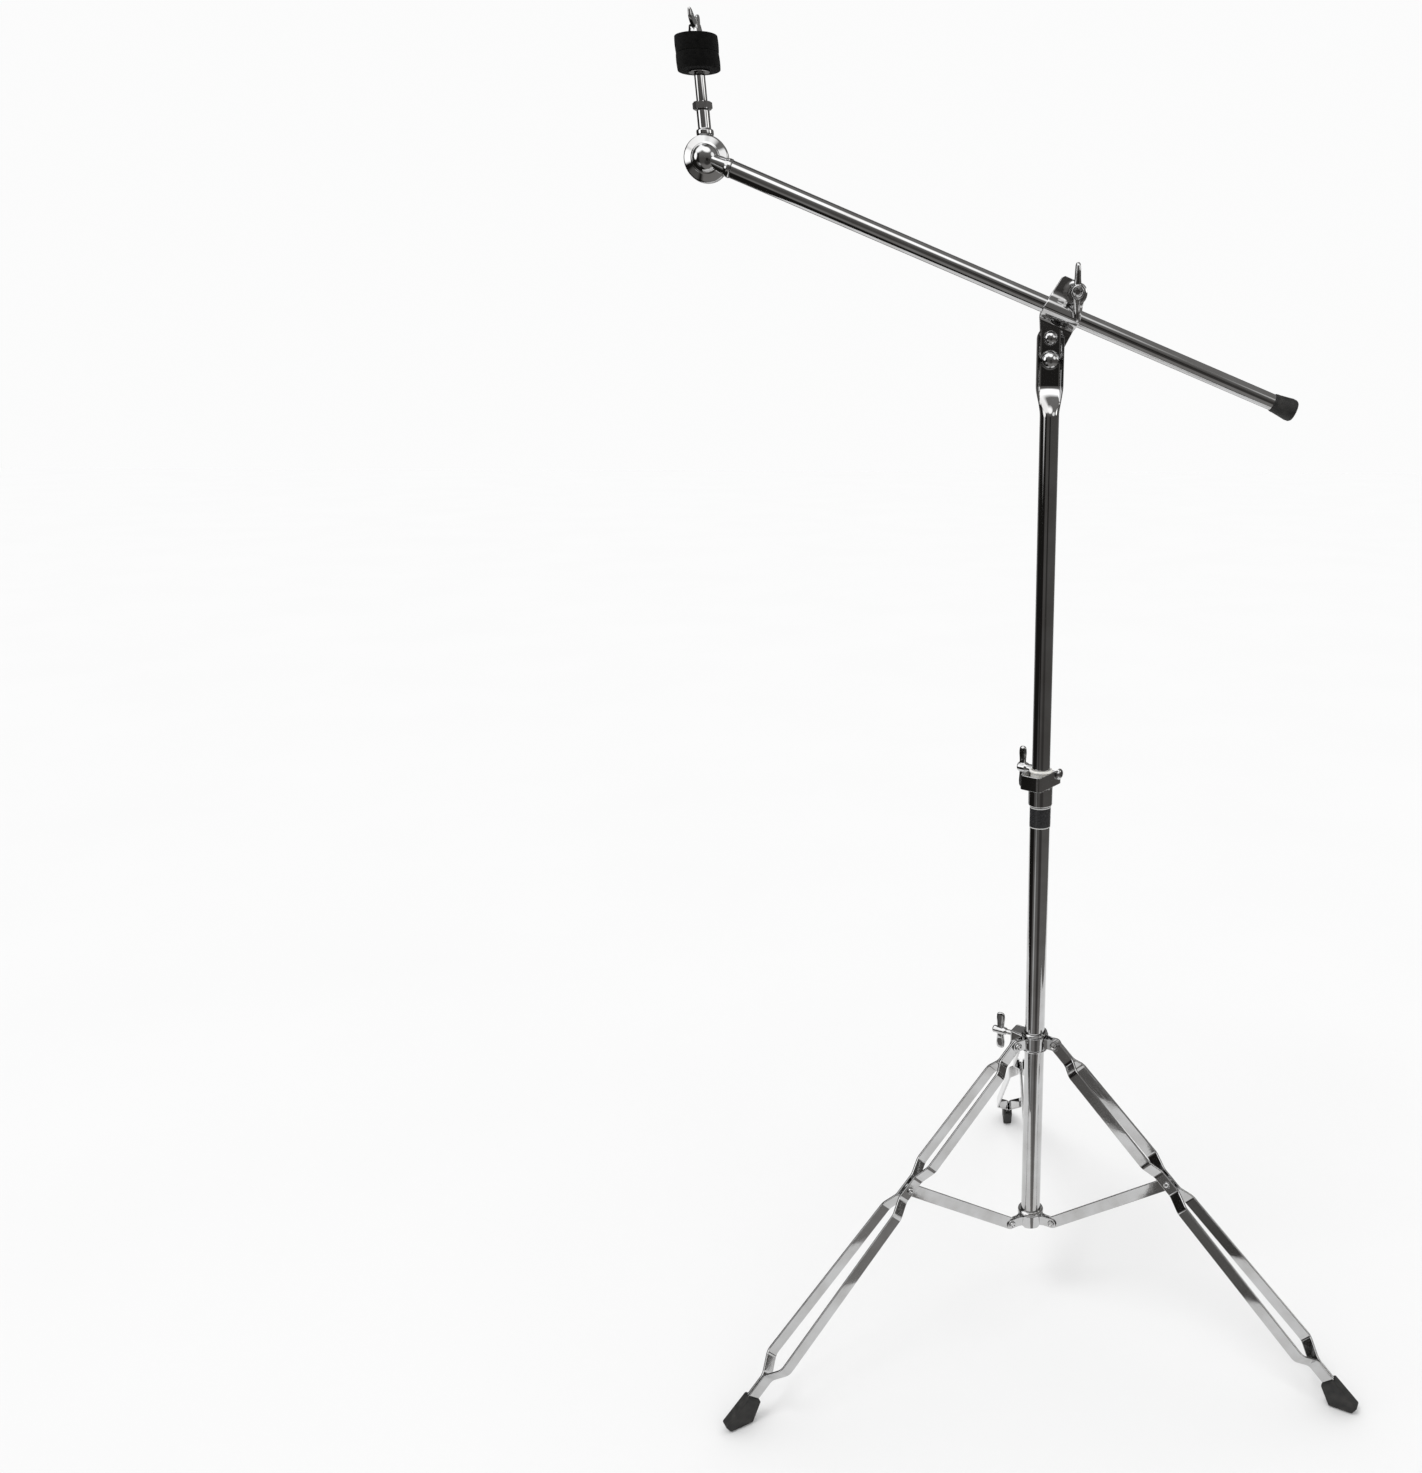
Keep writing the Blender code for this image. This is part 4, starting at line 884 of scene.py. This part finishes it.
def build_middle_tube():
    """Tube pressed into a trough at the top, with its rivet and the bolt it tilts on."""
    outer = HEAD_THICKNESS / 2
    inner = outer - (MIDDLE_RADIUS - MIDDLE_BORE)
    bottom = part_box("middle_tube")[0].z

    def press(level):
        t = min(1.0, max(0.0, (level + 0.053) / 0.029))
        return t * t * (3 - 2 * t)

    def ring(level, thickness):
        return [(p.x, p.y, TILT_Z + level) for p in head_ring(press(level), thickness)]

    rings = [ring(-0.045 - 0.002 * i, inner) for i in range(5)]
    rings.append([(p.x, p.y, bottom) for p in head_ring(0.0, inner)])
    rings.append([(p.x, p.y, bottom) for p in head_ring(0.0, outer)])
    rings += [ring(-0.054 + 0.0015 * i, outer) for i in range(21)]
    arch = HEAD_TOP - HEAD_HALF_WIDTH
    for lift in (0.0, 0.35, 0.7, 0.93, 1.0):
        level_ring = []
        for p in head_ring(1.0, outer):
            across = min(abs(p.x), HEAD_HALF_WIDTH)
            top = arch + math.sqrt(HEAD_HALF_WIDTH**2 - across**2)
            level_ring.append((p.x, p.y, TILT_Z + lift * top + (1 - lift) * 0.002))
        rings.append(level_ring)
    obj = finish(loft(rings, True), "middle_section")
    rim = obj.modifiers.new("rim", "BEVEL")
    rim.width = 0.0005
    rim.segments = 3
    rim.limit_method = "ANGLE"
    rim.angle_limit = math.radians(50)
    show(even_normals(obj), STAND, TUBE_CHROME, "column", "middle_tube")

    front = HEAD_REAR - HEAD_THICKNESS
    rivet_body = [(0, GAP - HEAD_THICKNESS), (0.003, GAP - HEAD_THICKNESS), (0.003, GAP, 0), (0.0067, GAP)]
    rivet_body += [(0.0071, 0.0012), (0.0070, 0.0016)] + cap_points(0.0069, 0.0052, 0.0017, 20)[1:]
    obj = finish(spindle(rivet_body, 0.0002, 96), "trough_rivet")
    place = at(STAND, (0, front, TILT_Z + RIVET_RISE), TO_FRONT)
    show(obj, place, DOME_CHROME, "column", "head_rivet")
    bolt = [(0, -0.0235), (0.0034, -0.0235), (0.0038, -0.0231), (0.0038, GAP, 0), (0.0086, GAP)]
    bolt += [(0.0094, 0.0016), (0.0094, 0.0020)] + cap_points(0.0093, 0.0076, 0.0021, 24)[1:]
    obj = finish(spindle(bolt, 0.0002, 96), "dome_bolt")
    show(obj, at(STAND, (0, front, TILT_Z), TO_FRONT), DOME_CHROME, "column", "tilt_bolt")

    obj = thumb_nut("tilt_thumb_nut", 0.0041)
    rear = HEAD_REAR + 2 * (GAP + PLATE) + GAP
    upright = (-math.pi / 2, math.pi / 2, 0)
    show(obj, at(STAND, (0, rear, TILT_Z), upright), CAST_CHROME, "tilt_nut", "tilt_wing_nut")


# Boom clamp


def clamp_profile(front):
    """Side view (z, y) of a clamp plate's middle line, from below the pivot to the ear's top."""
    centre = (BOOM_OFFSET.z, BOOM_OFFSET.y)
    radius = BOOM_RADIUS + GAP + PLATE / 2 + 0.0001
    flat = HEAD_REAR + GAP + PLATE / 2
    if front:
        ear = centre[1] - EAR_HALF_GAP
        knee = Vector((0.034, flat))
        reach = (Vector(centre) - knee).length
        lean = math.atan2(centre[1] - knee.y, centre[0] - knee.x) - math.asin(radius / reach)
        start = math.atan2(-math.cos(lean), math.sin(lean))
        ridge = Vector(centre) + Vector((-0.0033, -0.0097))
        heading = math.atan2(-0.0097, -0.0033)
        spread = math.acos(radius / (ridge - Vector(centre)).length)
        line = [Vector((-0.013, flat)), knee + Vector((-0.002, 0)), knee + Vector((0.0004, -0.0012))]
        line += arc(centre, radius, start, heading - spread, 12) + [ridge]
        lean = math.radians(40)
        bow = arc(centre, radius, heading + spread, lean - math.pi / 2, 14)
        top = bow[-1].x + (ear - bow[-1].y) / math.tan(lean)
        shoulder = Vector((top, ear))
        before = shoulder - Vector((math.cos(lean), math.sin(lean))) * 0.0046
        after = shoulder + Vector((0.0046, 0))
        steps = [i / 12 for i in range(13)]
        bow += [before * (1 - t) ** 2 + shoulder * (2 * t * (1 - t)) + after * t**2 for t in steps]
    else:
        flat += PLATE + GAP
        ear = centre[1] + EAR_HALF_GAP
        reach = flat - centre[1]
        bow = arc(centre, reach, math.pi / 2, math.pi / 2 - math.acos(EAR_HALF_GAP / reach), 20)
        line = [Vector((-0.013, flat))]
    return line + bow + [Vector((0.0795, ear))]


def outline_sides():
    """Front view of a clamp plate: left and right x at a height z."""
    left = [(-0.011, -0.0008), (-0.0113, 0.004), (-0.0255, 0.035), (-0.0262, 0.041), (-0.0192, 0.0745)]
    left += [(-0.0165, 0.0765)]
    right = [(0.0108, -0.0019), (0.0085, 0.014), (0.012, 0.044)]

    def side(points, z):
        for (xa, za), (xb, zb) in zip(points, points[1:]):
            if z <= zb:
                return xa + (xb - xa) * max(0.0, (z - za) / (zb - za))
        return points[-1][0]

    def at_height(z):
        if z < -0.0008:
            chord = math.sqrt(max(0.0, 0.011**2 - z**2))
            return -chord, chord
        x_left = side(left, z)
        ear = EAR_RADIUS**2 - (z - EAR_BOLT.z) ** 2
        x_right = side(right, z)
        join = EAR_BOLT.z - EAR_RADIUS * math.sin(EAR_JOIN)
        if z > join:
            x_right = EAR_BOLT.x + math.sqrt(max(0.0, ear))
        elif z > 0.044:
            t = (z - 0.044) / (join - 0.044)
            x_right = 0.012 + (EAR_BOLT.x + EAR_RADIUS * math.cos(EAR_JOIN) - 0.012) * t
        if z > 0.0765:
            x_left = EAR_BOLT.x - math.sqrt(max(0.0, ear))
        return x_left, x_right

    return at_height


def clamp_plate(name, front):
    """A drawn plate as a closed sheet: rows along its bent profile, columns across."""
    profile = rounded([(p.x, p.y) for p in clamp_profile(front)], 0.0009, 4)
    lengths = [0.0]
    for a, b in zip(profile, profile[1:]):
        lengths.append(lengths[-1] + (b - a).length)
    sides = outline_sides()
    top = EAR_BOLT.z + 0.0112
    columns = 30
    rows = []
    steps = 120
    for k in range(steps + 1):
        distance = lengths[-1] * k / steps
        i = 0
        while i < len(profile) - 2 and distance > lengths[i + 1]:
            i += 1
        t = (distance - lengths[i]) / max(1e-9, lengths[i + 1] - lengths[i])
        point = profile[i].lerp(profile[i + 1], min(1.0, t))
        direction = (profile[i + 1] - profile[i]).normalized()
        if -PLATE_FOOT < point.x < top:
            rows.append((point, Vector((-direction.y, direction.x))))
    bm = bmesh.new()
    grids = []
    for face in (1, -1):
        grid = []
        for point, normal in rows:
            x_left, x_right = sides(point.x)
            line = []
            for c in range(columns + 1):
                u = 0.5 - 0.5 * math.cos(math.pi * c / columns)
                x = x_left + (x_right - x_left) * u
                rim = min(x - x_left, x_right - x, top - point.x, point.x + PLATE_FOOT)
                rim = max(0.0, min(1.0, rim / 0.0006))
                half = PLATE / 2 * (0.35 + 0.65 * math.sqrt(1 - (1 - rim) ** 2))
                lift = emboss(x, point.x, front)
                offset = point + normal * (face * half - lift)
                line.append(bm.verts.new((x, offset.y, offset.x)))
            grid.append(line)
        grids.append(grid)
    for grid in grids:
        for a, b in zip(grid, grid[1:]):
            for c in range(columns):
                bm.faces.new((a[c], a[c + 1], b[c + 1], b[c]))
    rim_rows = [(grids[0][0], grids[1][0]), (grids[0][-1], grids[1][-1])]
    rim_rows += [([row[e] for row in grids[0]], [row[e] for row in grids[1]]) for e in (0, -1)]
    for a, b in rim_rows:
        for c in range(len(a) - 1):
            bm.faces.new((a[c], a[c + 1], b[c + 1], b[c]))
    return finish(bm, name, 60)


def emboss(x, z, front):
    """How far a clamp plate is pressed forward at a place: the round boss under the wing screw."""
    if not front:
        return 0.0
    distance = math.hypot(x - EAR_BOLT.x, z - EAR_BOLT.z)
    t = min(1.0, max(0.0, (0.0110 - distance) / 0.0013))
    return 0.00105 * t * t * (3 - 2 * t)


def build_boom_clamp():
    """Both plates, the wing screw that squeezes them and its nut."""
    for name, front in (("front", True), ("rear", False)):
        plate = clamp_plate(f"clamp_{name}_half", front)
        drill(plate, 0.0042, -0.04, 0.04, at(Matrix(), (0, 0, 0), ALONG_Y), 48)
        drill(plate, 0.0033, -0.04, 0.04, at(Matrix(), EAR_BOLT, ALONG_Y), 48)
        show(resharpen(plate, 50), TILT, SHEET_CHROME, "boom_clamp", f"boom_clamp_{name}")
    ear_rear = BOOM_OFFSET.y + EAR_HALF_GAP + PLATE / 2
    place = at(TILT, EAR_BOLT + Vector((0, ear_rear + GAP, 0)), ALONG_Y)
    obj = hex_nut("square_lock_nut", 0.0039, 0.0064, 0.0, 0.005)
    show(obj, place, TURNED_CHROME, "boom_clamp", "boom_clamp_nut")

    screw = [(0, -0.0155), (0.003, -0.0155), (0.003, 0.0, 0), (0.0068, 0.0), (0.0066, 0.009)]
    screw += [(0.0063, 0.0150), (0.0057, 0.0162), (0.0044, 0.0162), (0.0038, 0.0155), (0.0034, 0.0125)]
    screw += [(0, 0.0120)]
    wings = two_wings(0.0268, 0.0058, 0.0095, 0.0108, 0.0, 0.8)
    obj = cast("boom_thumb_screw", spindle(screw, 0.0006), [wings], (0.0033, 0.0123, 0.02))
    front_face = BOOM_OFFSET.y - EAR_HALF_GAP - PLATE / 2 - 0.0011 - GAP
    upright = (math.pi / 2, math.pi / 2 - BOOM_SLOPE, 0)
    place = at(TILT, EAR_BOLT + Vector((0, front_face, 0)), upright)
    show(obj, place, CAST_CHROME, "boom_screw", "boom_wing_screw")


def hex_nut(name, bore, apothem, bottom, top):
    """A hexagon nut with chamfered corners."""
    corner = apothem / math.cos(math.pi / 6)
    chamfer = (corner - apothem) * 0.6
    section = [(bore, bottom), (apothem, bottom, 0), (corner, bottom + chamfer, 0)]
    section += [(corner, top - chamfer, 0), (apothem, top, 0), (bore, top)]

    def hexagon(radius, angle, _):
        within = angle % (math.pi / 3) - math.pi / 6
        return min(radius, apothem / math.cos(within))

    return even_normals(finish(sleeve(section, 0.0003, 96, hexagon), name, 25))


# Boom, tilter and cymbal post


def build_boom():
    """Boom tube, its rubber cap, and the tilter half with the neck that goes into it."""
    obj = finish(tube(BOOM_RADIUS, BOOM_BORE, BOOM_START, BOOM_END), "boom_pipe")
    show(even_normals(obj), at(BOOM, (0, 0, 0), ALONG_X), BOOM_CHROME, "boom", "boom_tube")
    inner = BOOM_RADIUS + GAP
    cap = [(inner, 0.2207), (0.0086, 0.2207), (0.0090, 0.2225), (0.0091, 0.225), (0.0102, 0.2335)]
    cap += [(0.0109, 0.2385), (0.0107, 0.2425), (0.0092, 0.2447), (0, 0.245)]
    outside = [(p.x, p.y) for p in rounded(cap, 0.0016, 5)]
    obj = even_normals(finish(turned(outside + [(0, 0.2408), (inner, 0.2408)], 72), "end_boot", 50))
    show(obj, at(BOOM, (0, 0, 0), ALONG_X), RUBBER, "boom", "boom_end_cap")

    disc = [(0, -DISC_FACE), (DISC_RADIUS - 0.0004, -DISC_FACE, 0), (DISC_RADIUS, -DISC_FACE + 0.0005, 0)]
    disc += [(DISC_RADIUS, 0.0028 - DISC_FACE), (0.0198, 0.0036 - DISC_FACE), (0.0136, -0.0006)]
    disc += [(0.0124, -0.0004, 0), (0.0118, 0.0002, 0)] + cap_points(0.0116, 0.0060, 0.0004, 14)[1:]
    neck = [(0, 0.004), (0.0056, 0.004), (0.0061, 0.0105), (0.0074, 0.0193), (0.0086, 0.0222)]
    neck += [(0.0086, 0.0252), (0.0066, 0.0253, 0), (0.0066, 0.044), (0, 0.044)]
    neck_shape = spindle(neck, 0.0005, 64)
    to_disc = at(Matrix(), (0, 0, 0), TO_FRONT).inverted() @ at(Matrix(), (0, 0, 0), ALONG_X)
    bmesh.ops.transform(neck_shape, matrix=to_disc, verts=neck_shape.verts)
    half = cast("front_disc", spindle(disc, 0.0003, 144), [neck_shape], None, 0.00042)
    drill(half, 0.0043, -0.01, -0.0018, steps=48)
    show(resharpen(half, 50), at(TILTER, (0, 0, 0), TO_FRONT), TURNED_CHROME, "boom", "tilter_boom_half")
    stud = [(0, 0.0024), (0.004, 0.0024), (0.004, 0.0340), (0.0036, 0.0345), (0, 0.0345)]
    obj = finish(spindle(stud, 0.0003, 64, thread(0.0042, 0.00012, 0.001)), "tilter_stud")
    show(obj, at(TILTER, (0, 0, 0), ALONG_Y), TURNED_CHROME, "boom", "tilter_bolt")

    obj = thumb_nut("tilter_thumb_nut", 0.0043)
    turned_by = (-math.pi / 2, math.radians(-45) - BOOM_SLOPE, 0)
    place = at(TILTER, (0, 0.0212, 0), turned_by)
    show(obj, place, CAST_CHROME, "tilter_nut", "tilter_wing_nut")


def thread(radius, depth, pitch):
    """A shape for turned(): threads pressed into everything close to a radius."""

    def shape(r, angle, z):
        if abs(r - radius) > 0.0006:
            return r
        return r - depth * (0.5 + 0.5 * math.cos(2 * math.pi * z / pitch - angle))

    return shape


def build_post():
    """The tilter's rod half, the post, its nut and washer, both felts and the wing nut."""
    face = DISC_FACE + GAP
    disc = [(0, face), (DISC_RADIUS - 0.0004, face, 0), (DISC_RADIUS, face + 0.0005, 0)]
    disc += [(DISC_RADIUS, face + 0.0028), (0.0198, face + 0.0036), (0.0128, face + 0.0052)]
    disc += [(0.0118, face + 0.0058), (0.009, 0.0204), (0, 0.0209)]
    neck = [(0, 0.0052), (0.0056, 0.0052), (0.006, 0.0206), (0.0076, 0.0210), (0.008, 0.0216)]
    neck += [(0.008, 0.0252), (0.0076, 0.0260), (0.006, 0.0263), (0.006, 0.0426), (0, 0.0426)]
    neck_shape = spindle(neck, 0.0005, 64)
    to_disc = at(Matrix(), (0, 0, 0), ALONG_Y).inverted() @ at(Matrix(), (0, ROD_OFFSET, 0))
    bmesh.ops.transform(neck_shape, matrix=to_disc, verts=neck_shape.verts)
    half = cast("rear_disc", spindle(disc, 0.0006, 144), [neck_shape], (0.0043, -0.01, 0.04), 0.00042)
    show(half, at(POST, (0, 0, 0), ALONG_Y), TURNED_CHROME, "cymbal_post", "tilter_rod_half")

    rod = [(0, 0.0302), (0.003, 0.0302), (0.003, 0.0497, 0), (0.005, 0.0497), (0.005, 0.0735)]
    rod += [(0.0038, 0.0738, 0)] + [(0.0038, 0.074 + 0.00025 * i, 0) for i in range(1, 175)]
    rod += [(0.0038, 0.118), (0.0030, 0.1192), (0, 0.1192)]
    obj = finish(spindle(rod, 0.0004, 48, thread(0.0038, 0.00016, 0.001)), "post_rod", 60)
    show(obj, ROD, TURNED_CHROME, "cymbal_post", "cymbal_rod")
    obj = hex_nut("post_nut", 0.0039, 0.0079, 0.0430, 0.0494)
    show(obj, ROD, TURNED_CHROME, "cymbal_post", "rod_lock_nut")
    washer = [(0.0041, 0.0738), (0.0095, 0.0738), (0.0095, 0.0752), (0.0041, 0.0752)]
    obj = even_normals(finish(sleeve(washer, 0.0005), "post_washer"))
    show(obj, ROD, TURNED_CHROME, "cymbal_post", "seat_washer")

    for name, body, bottom, top, seed in (
        ("lower_felt", "cymbal_post", 0.0755, 0.0895, 0.0),
        ("upper_felt", "top_felt", 0.0898, 0.1038, 2.1),
    ):
        obj = felt_disc(name + "_pad", bottom, top, seed)
        show(obj, ROD, FELT, body, name)

    nut = [(0, 0), (0.007, 0), (0.007, 0.0015), (0.0060, 0.0050), (0.0054, 0.0090), (0, 0.0090)]
    wings = two_wings(0.0145, 0.0044, 0.0118, 0.0078, 0.0084, 0.7)
    obj = cast("top_thumb_nut", spindle(nut, 0.0007, 64), [wings], (0.0041, -0.001, 0.02))
    place = at(ROD, (0, 0, 0.1041), (0, 0, math.radians(83)))
    show(obj, place, CAST_CHROME, "top_nut", "cymbal_wing_nut")


def felt_disc(name, bottom, top, seed):
    """A cut felt washer: slightly uneven rim, soft corners and a bulging side."""
    side = []
    steps = 14
    for i in range(steps + 1):
        t = i / steps
        bulge = 0.0004 * math.sin(math.pi * t)
        side.append((FELT_RADIUS - 0.0005 + bulge, bottom + (top - bottom) * t, 0.0016))
    lower = [(0.0043, bottom), (0.009, bottom, 0), (0.014, bottom, 0)]
    upper = [(0.014, top, 0), (0.009, top, 0), (0.0043, top)]

    def uneven(radius, angle, z):
        if radius < 0.010:
            return radius
        wave = math.sin(3 * angle + seed + 190 * z) + 0.6 * math.sin(7 * angle - 2 * seed - 310 * z)
        return radius * (1 - 0.006 * (1.6 - wave) / 1.6)

    bm = turned(rounded(lower + side + upper, 0.0003, 4, True), 120, uneven)
    return finish(bm, name, 60)


# Stage


def build_stage():
    """Pale floor, soft lights, the studio that the chrome mirrors, and the camera."""
    floor_material, nodes, shader = new_material("floor_paper")
    shade = nodes.spread(nodes.noise(2.0, 3.0), 0.3, 0.7, 0.0, 1.0)
    nodes.put(shader, "Base Color", nodes.between(shade, (0.806, 0.806, 0.806), (0.797, 0.797, 0.797)))
    shader.inputs["Roughness"].default_value = 1.0
    shader.inputs["Specular IOR Level"].default_value = 0.0
    corners = {
        "floor": ([(-14, -14), (14, -14), (14, 14), (-14, 14)], -0.0012),
        "paper": (
            [(-0.9, 0.1), (-0.2, -0.46), (-0.08, -0.36), (0.03, -0.2), (0.14, -0.36), (0.3, -0.545)]
            + [(0.75, -0.62), (1.1, 1.6), (-1.1, 1.6)],
            -0.0004,
        ),
    }
    for name, (outline, level) in corners.items():
        bm = bmesh.new()
        bm.faces.new([bm.verts.new((x, y, level)) for x, y in outline])
        mesh = bpy.data.meshes.new(name)
        bm.to_mesh(mesh)
        bm.free()
        plane = bpy.data.objects.new(name, mesh)
        bpy.context.scene.collection.objects.link(plane)
        plane.data.materials.append(floor_material)
        mirrored = name == "paper"
        plane.visible_glossy = mirrored
        plane.visible_camera = not mirrored
        plane.visible_diffuse = not mirrored
        plane.visible_shadow = not mirrored

    light = bpy.data.lights.new("key", "SUN")
    light.energy = 0.85
    light.angle = math.radians(24)
    lamp = bpy.data.objects.new("key", light)
    bpy.context.scene.collection.objects.link(lamp)
    lamp.rotation_euler = Vector((0.42, 0.30, -1.0)).to_track_quat("-Z", "Y").to_euler()
    lamp.visible_glossy = False

    build_world()
    build_camera()


# What the chrome mirrors: a direction, its full and fading radius in degrees, and its light
REFLECTED = (
    ((0.1, -0.93, -0.33), 8, 19, (0.055, 0.052, 0.050)),
    ((0.09, -0.99, -0.05), 4, 9, (0.018, 0.017, 0.016)),
    ((-0.819, 0.574, -0.05), 86, 93, (0.014, 0.013, 0.012)),
    ((-0.70, -0.52, -0.49), 10, 18, (0.13, 0.126, 0.122)),
    ((0.05, 1.0, 0.05), 42, 60, (0.19, 0.187, 0.185)),
    ((-0.50, -0.35, 0.79), 20, 30, (1.7, 1.7, 1.7)),
    ((0.06, -0.64, 0.77), 13, 24, (2.0, 2.0, 2.0)),
    ((0.66, -0.66, 0.36), 10, 17, (1.5, 1.5, 1.5)),
    ((-0.25, 0.25, 0.94), 12, 20, (1.9, 1.9, 1.92)),
    ((-0.90, -0.38, 0.24), 13, 19, (1.9, 1.9, 1.9)),
    ((0.95, -0.10, 0.28), 8, 12, (2.4, 2.4, 2.35)),
    ((-0.60, -0.67, -0.44), 4, 9, (0.55, 0.55, 0.55)),
)


def build_world():
    """A white surround for camera and shadows, and a dark room with soft boxes for reflections."""
    world = bpy.data.worlds.new("studio")
    bpy.context.scene.world = world
    world.use_nodes = True
    nodes = Nodes(world.node_tree)
    world.node_tree.nodes.clear()
    direction = nodes.add("ShaderNodeTexCoord").outputs["Generated"]

    def facing(target, inner, outer):
        """1 within inner degrees of a direction, falling to 0 at outer degrees."""
        dot = nodes.add("ShaderNodeVectorMath", {"operation": "DOT_PRODUCT"})
        nodes.tree.links.new(direction, dot.inputs[0])
        dot.inputs[1].default_value = Vector(target).normalized()
        wide, narrow = math.cos(math.radians(outer)), math.cos(math.radians(inner))
        return nodes.spread(dot.outputs["Value"], wide, narrow, 0.0, 1.0)

    up = nodes.add("ShaderNodeSeparateXYZ", None, Vector=direction).outputs["Z"]
    room = nodes.between(nodes.spread(up, 0.05, 0.6, 0.0, 1.0), (0.10, 0.096, 0.092), (0.24, 0.235, 0.23))
    room = nodes.between(nodes.spread(up, -0.30, -0.55, 0.0, 1.0), room, (0.26, 0.252, 0.245))
    for target, inner, outer, colour in REFLECTED:
        room = nodes.between(facing(target, inner, outer), room, colour)
    dark = nodes.add("ShaderNodeBackground", None, Color=room, Strength=1.0)
    pale = nodes.add("ShaderNodeBackground", None, Color=(1, 1, 1, 1), Strength=0.97)
    mix = nodes.add("ShaderNodeMixShader")
    nodes.tree.links.new(nodes.add("ShaderNodeLightPath").outputs["Is Glossy Ray"], mix.inputs[0])
    nodes.tree.links.new(pale.outputs[0], mix.inputs[1])
    nodes.tree.links.new(dark.outputs[0], mix.inputs[2])
    output = nodes.add("ShaderNodeOutputWorld")
    nodes.tree.links.new(mix.outputs[0], output.inputs[0])


def build_camera():
    """The camera, standing in front of the stand and a little above its middle."""
    data = bpy.data.cameras.new("camera")
    data.sensor_width = 36.0
    data.lens = 30.55
    data.shift_x = -0.1768
    data.shift_y = 0.0070
    camera = bpy.data.objects.new("camera", data)
    bpy.context.scene.collection.objects.link(camera)
    camera.location = (-0.12816, -1.36445, 1.0674)
    yaw, pitch, roll = math.radians(-2.63), math.radians(90 - 16.38), math.radians(0.425)
    camera.rotation_mode = "QUATERNION"
    spin = Matrix.Rotation(yaw, 3, "Z") @ Matrix.Rotation(pitch, 3, "X") @ Matrix.Rotation(roll, 3, "Z")
    camera.rotation_quaternion = spin.to_quaternion()
    bpy.context.scene.camera = camera
    bpy.context.scene.view_settings.view_transform = "Standard"


build_tubes()
for leg_name, leg_azimuth in LEG_AZIMUTHS.items():
    build_leg(leg_name, leg_azimuth)
    build_brace(leg_name, leg_azimuth)
build_plates()
build_height_clamp()
build_middle_tube()
build_boom_clamp()
build_boom()
build_post()
build_stage()
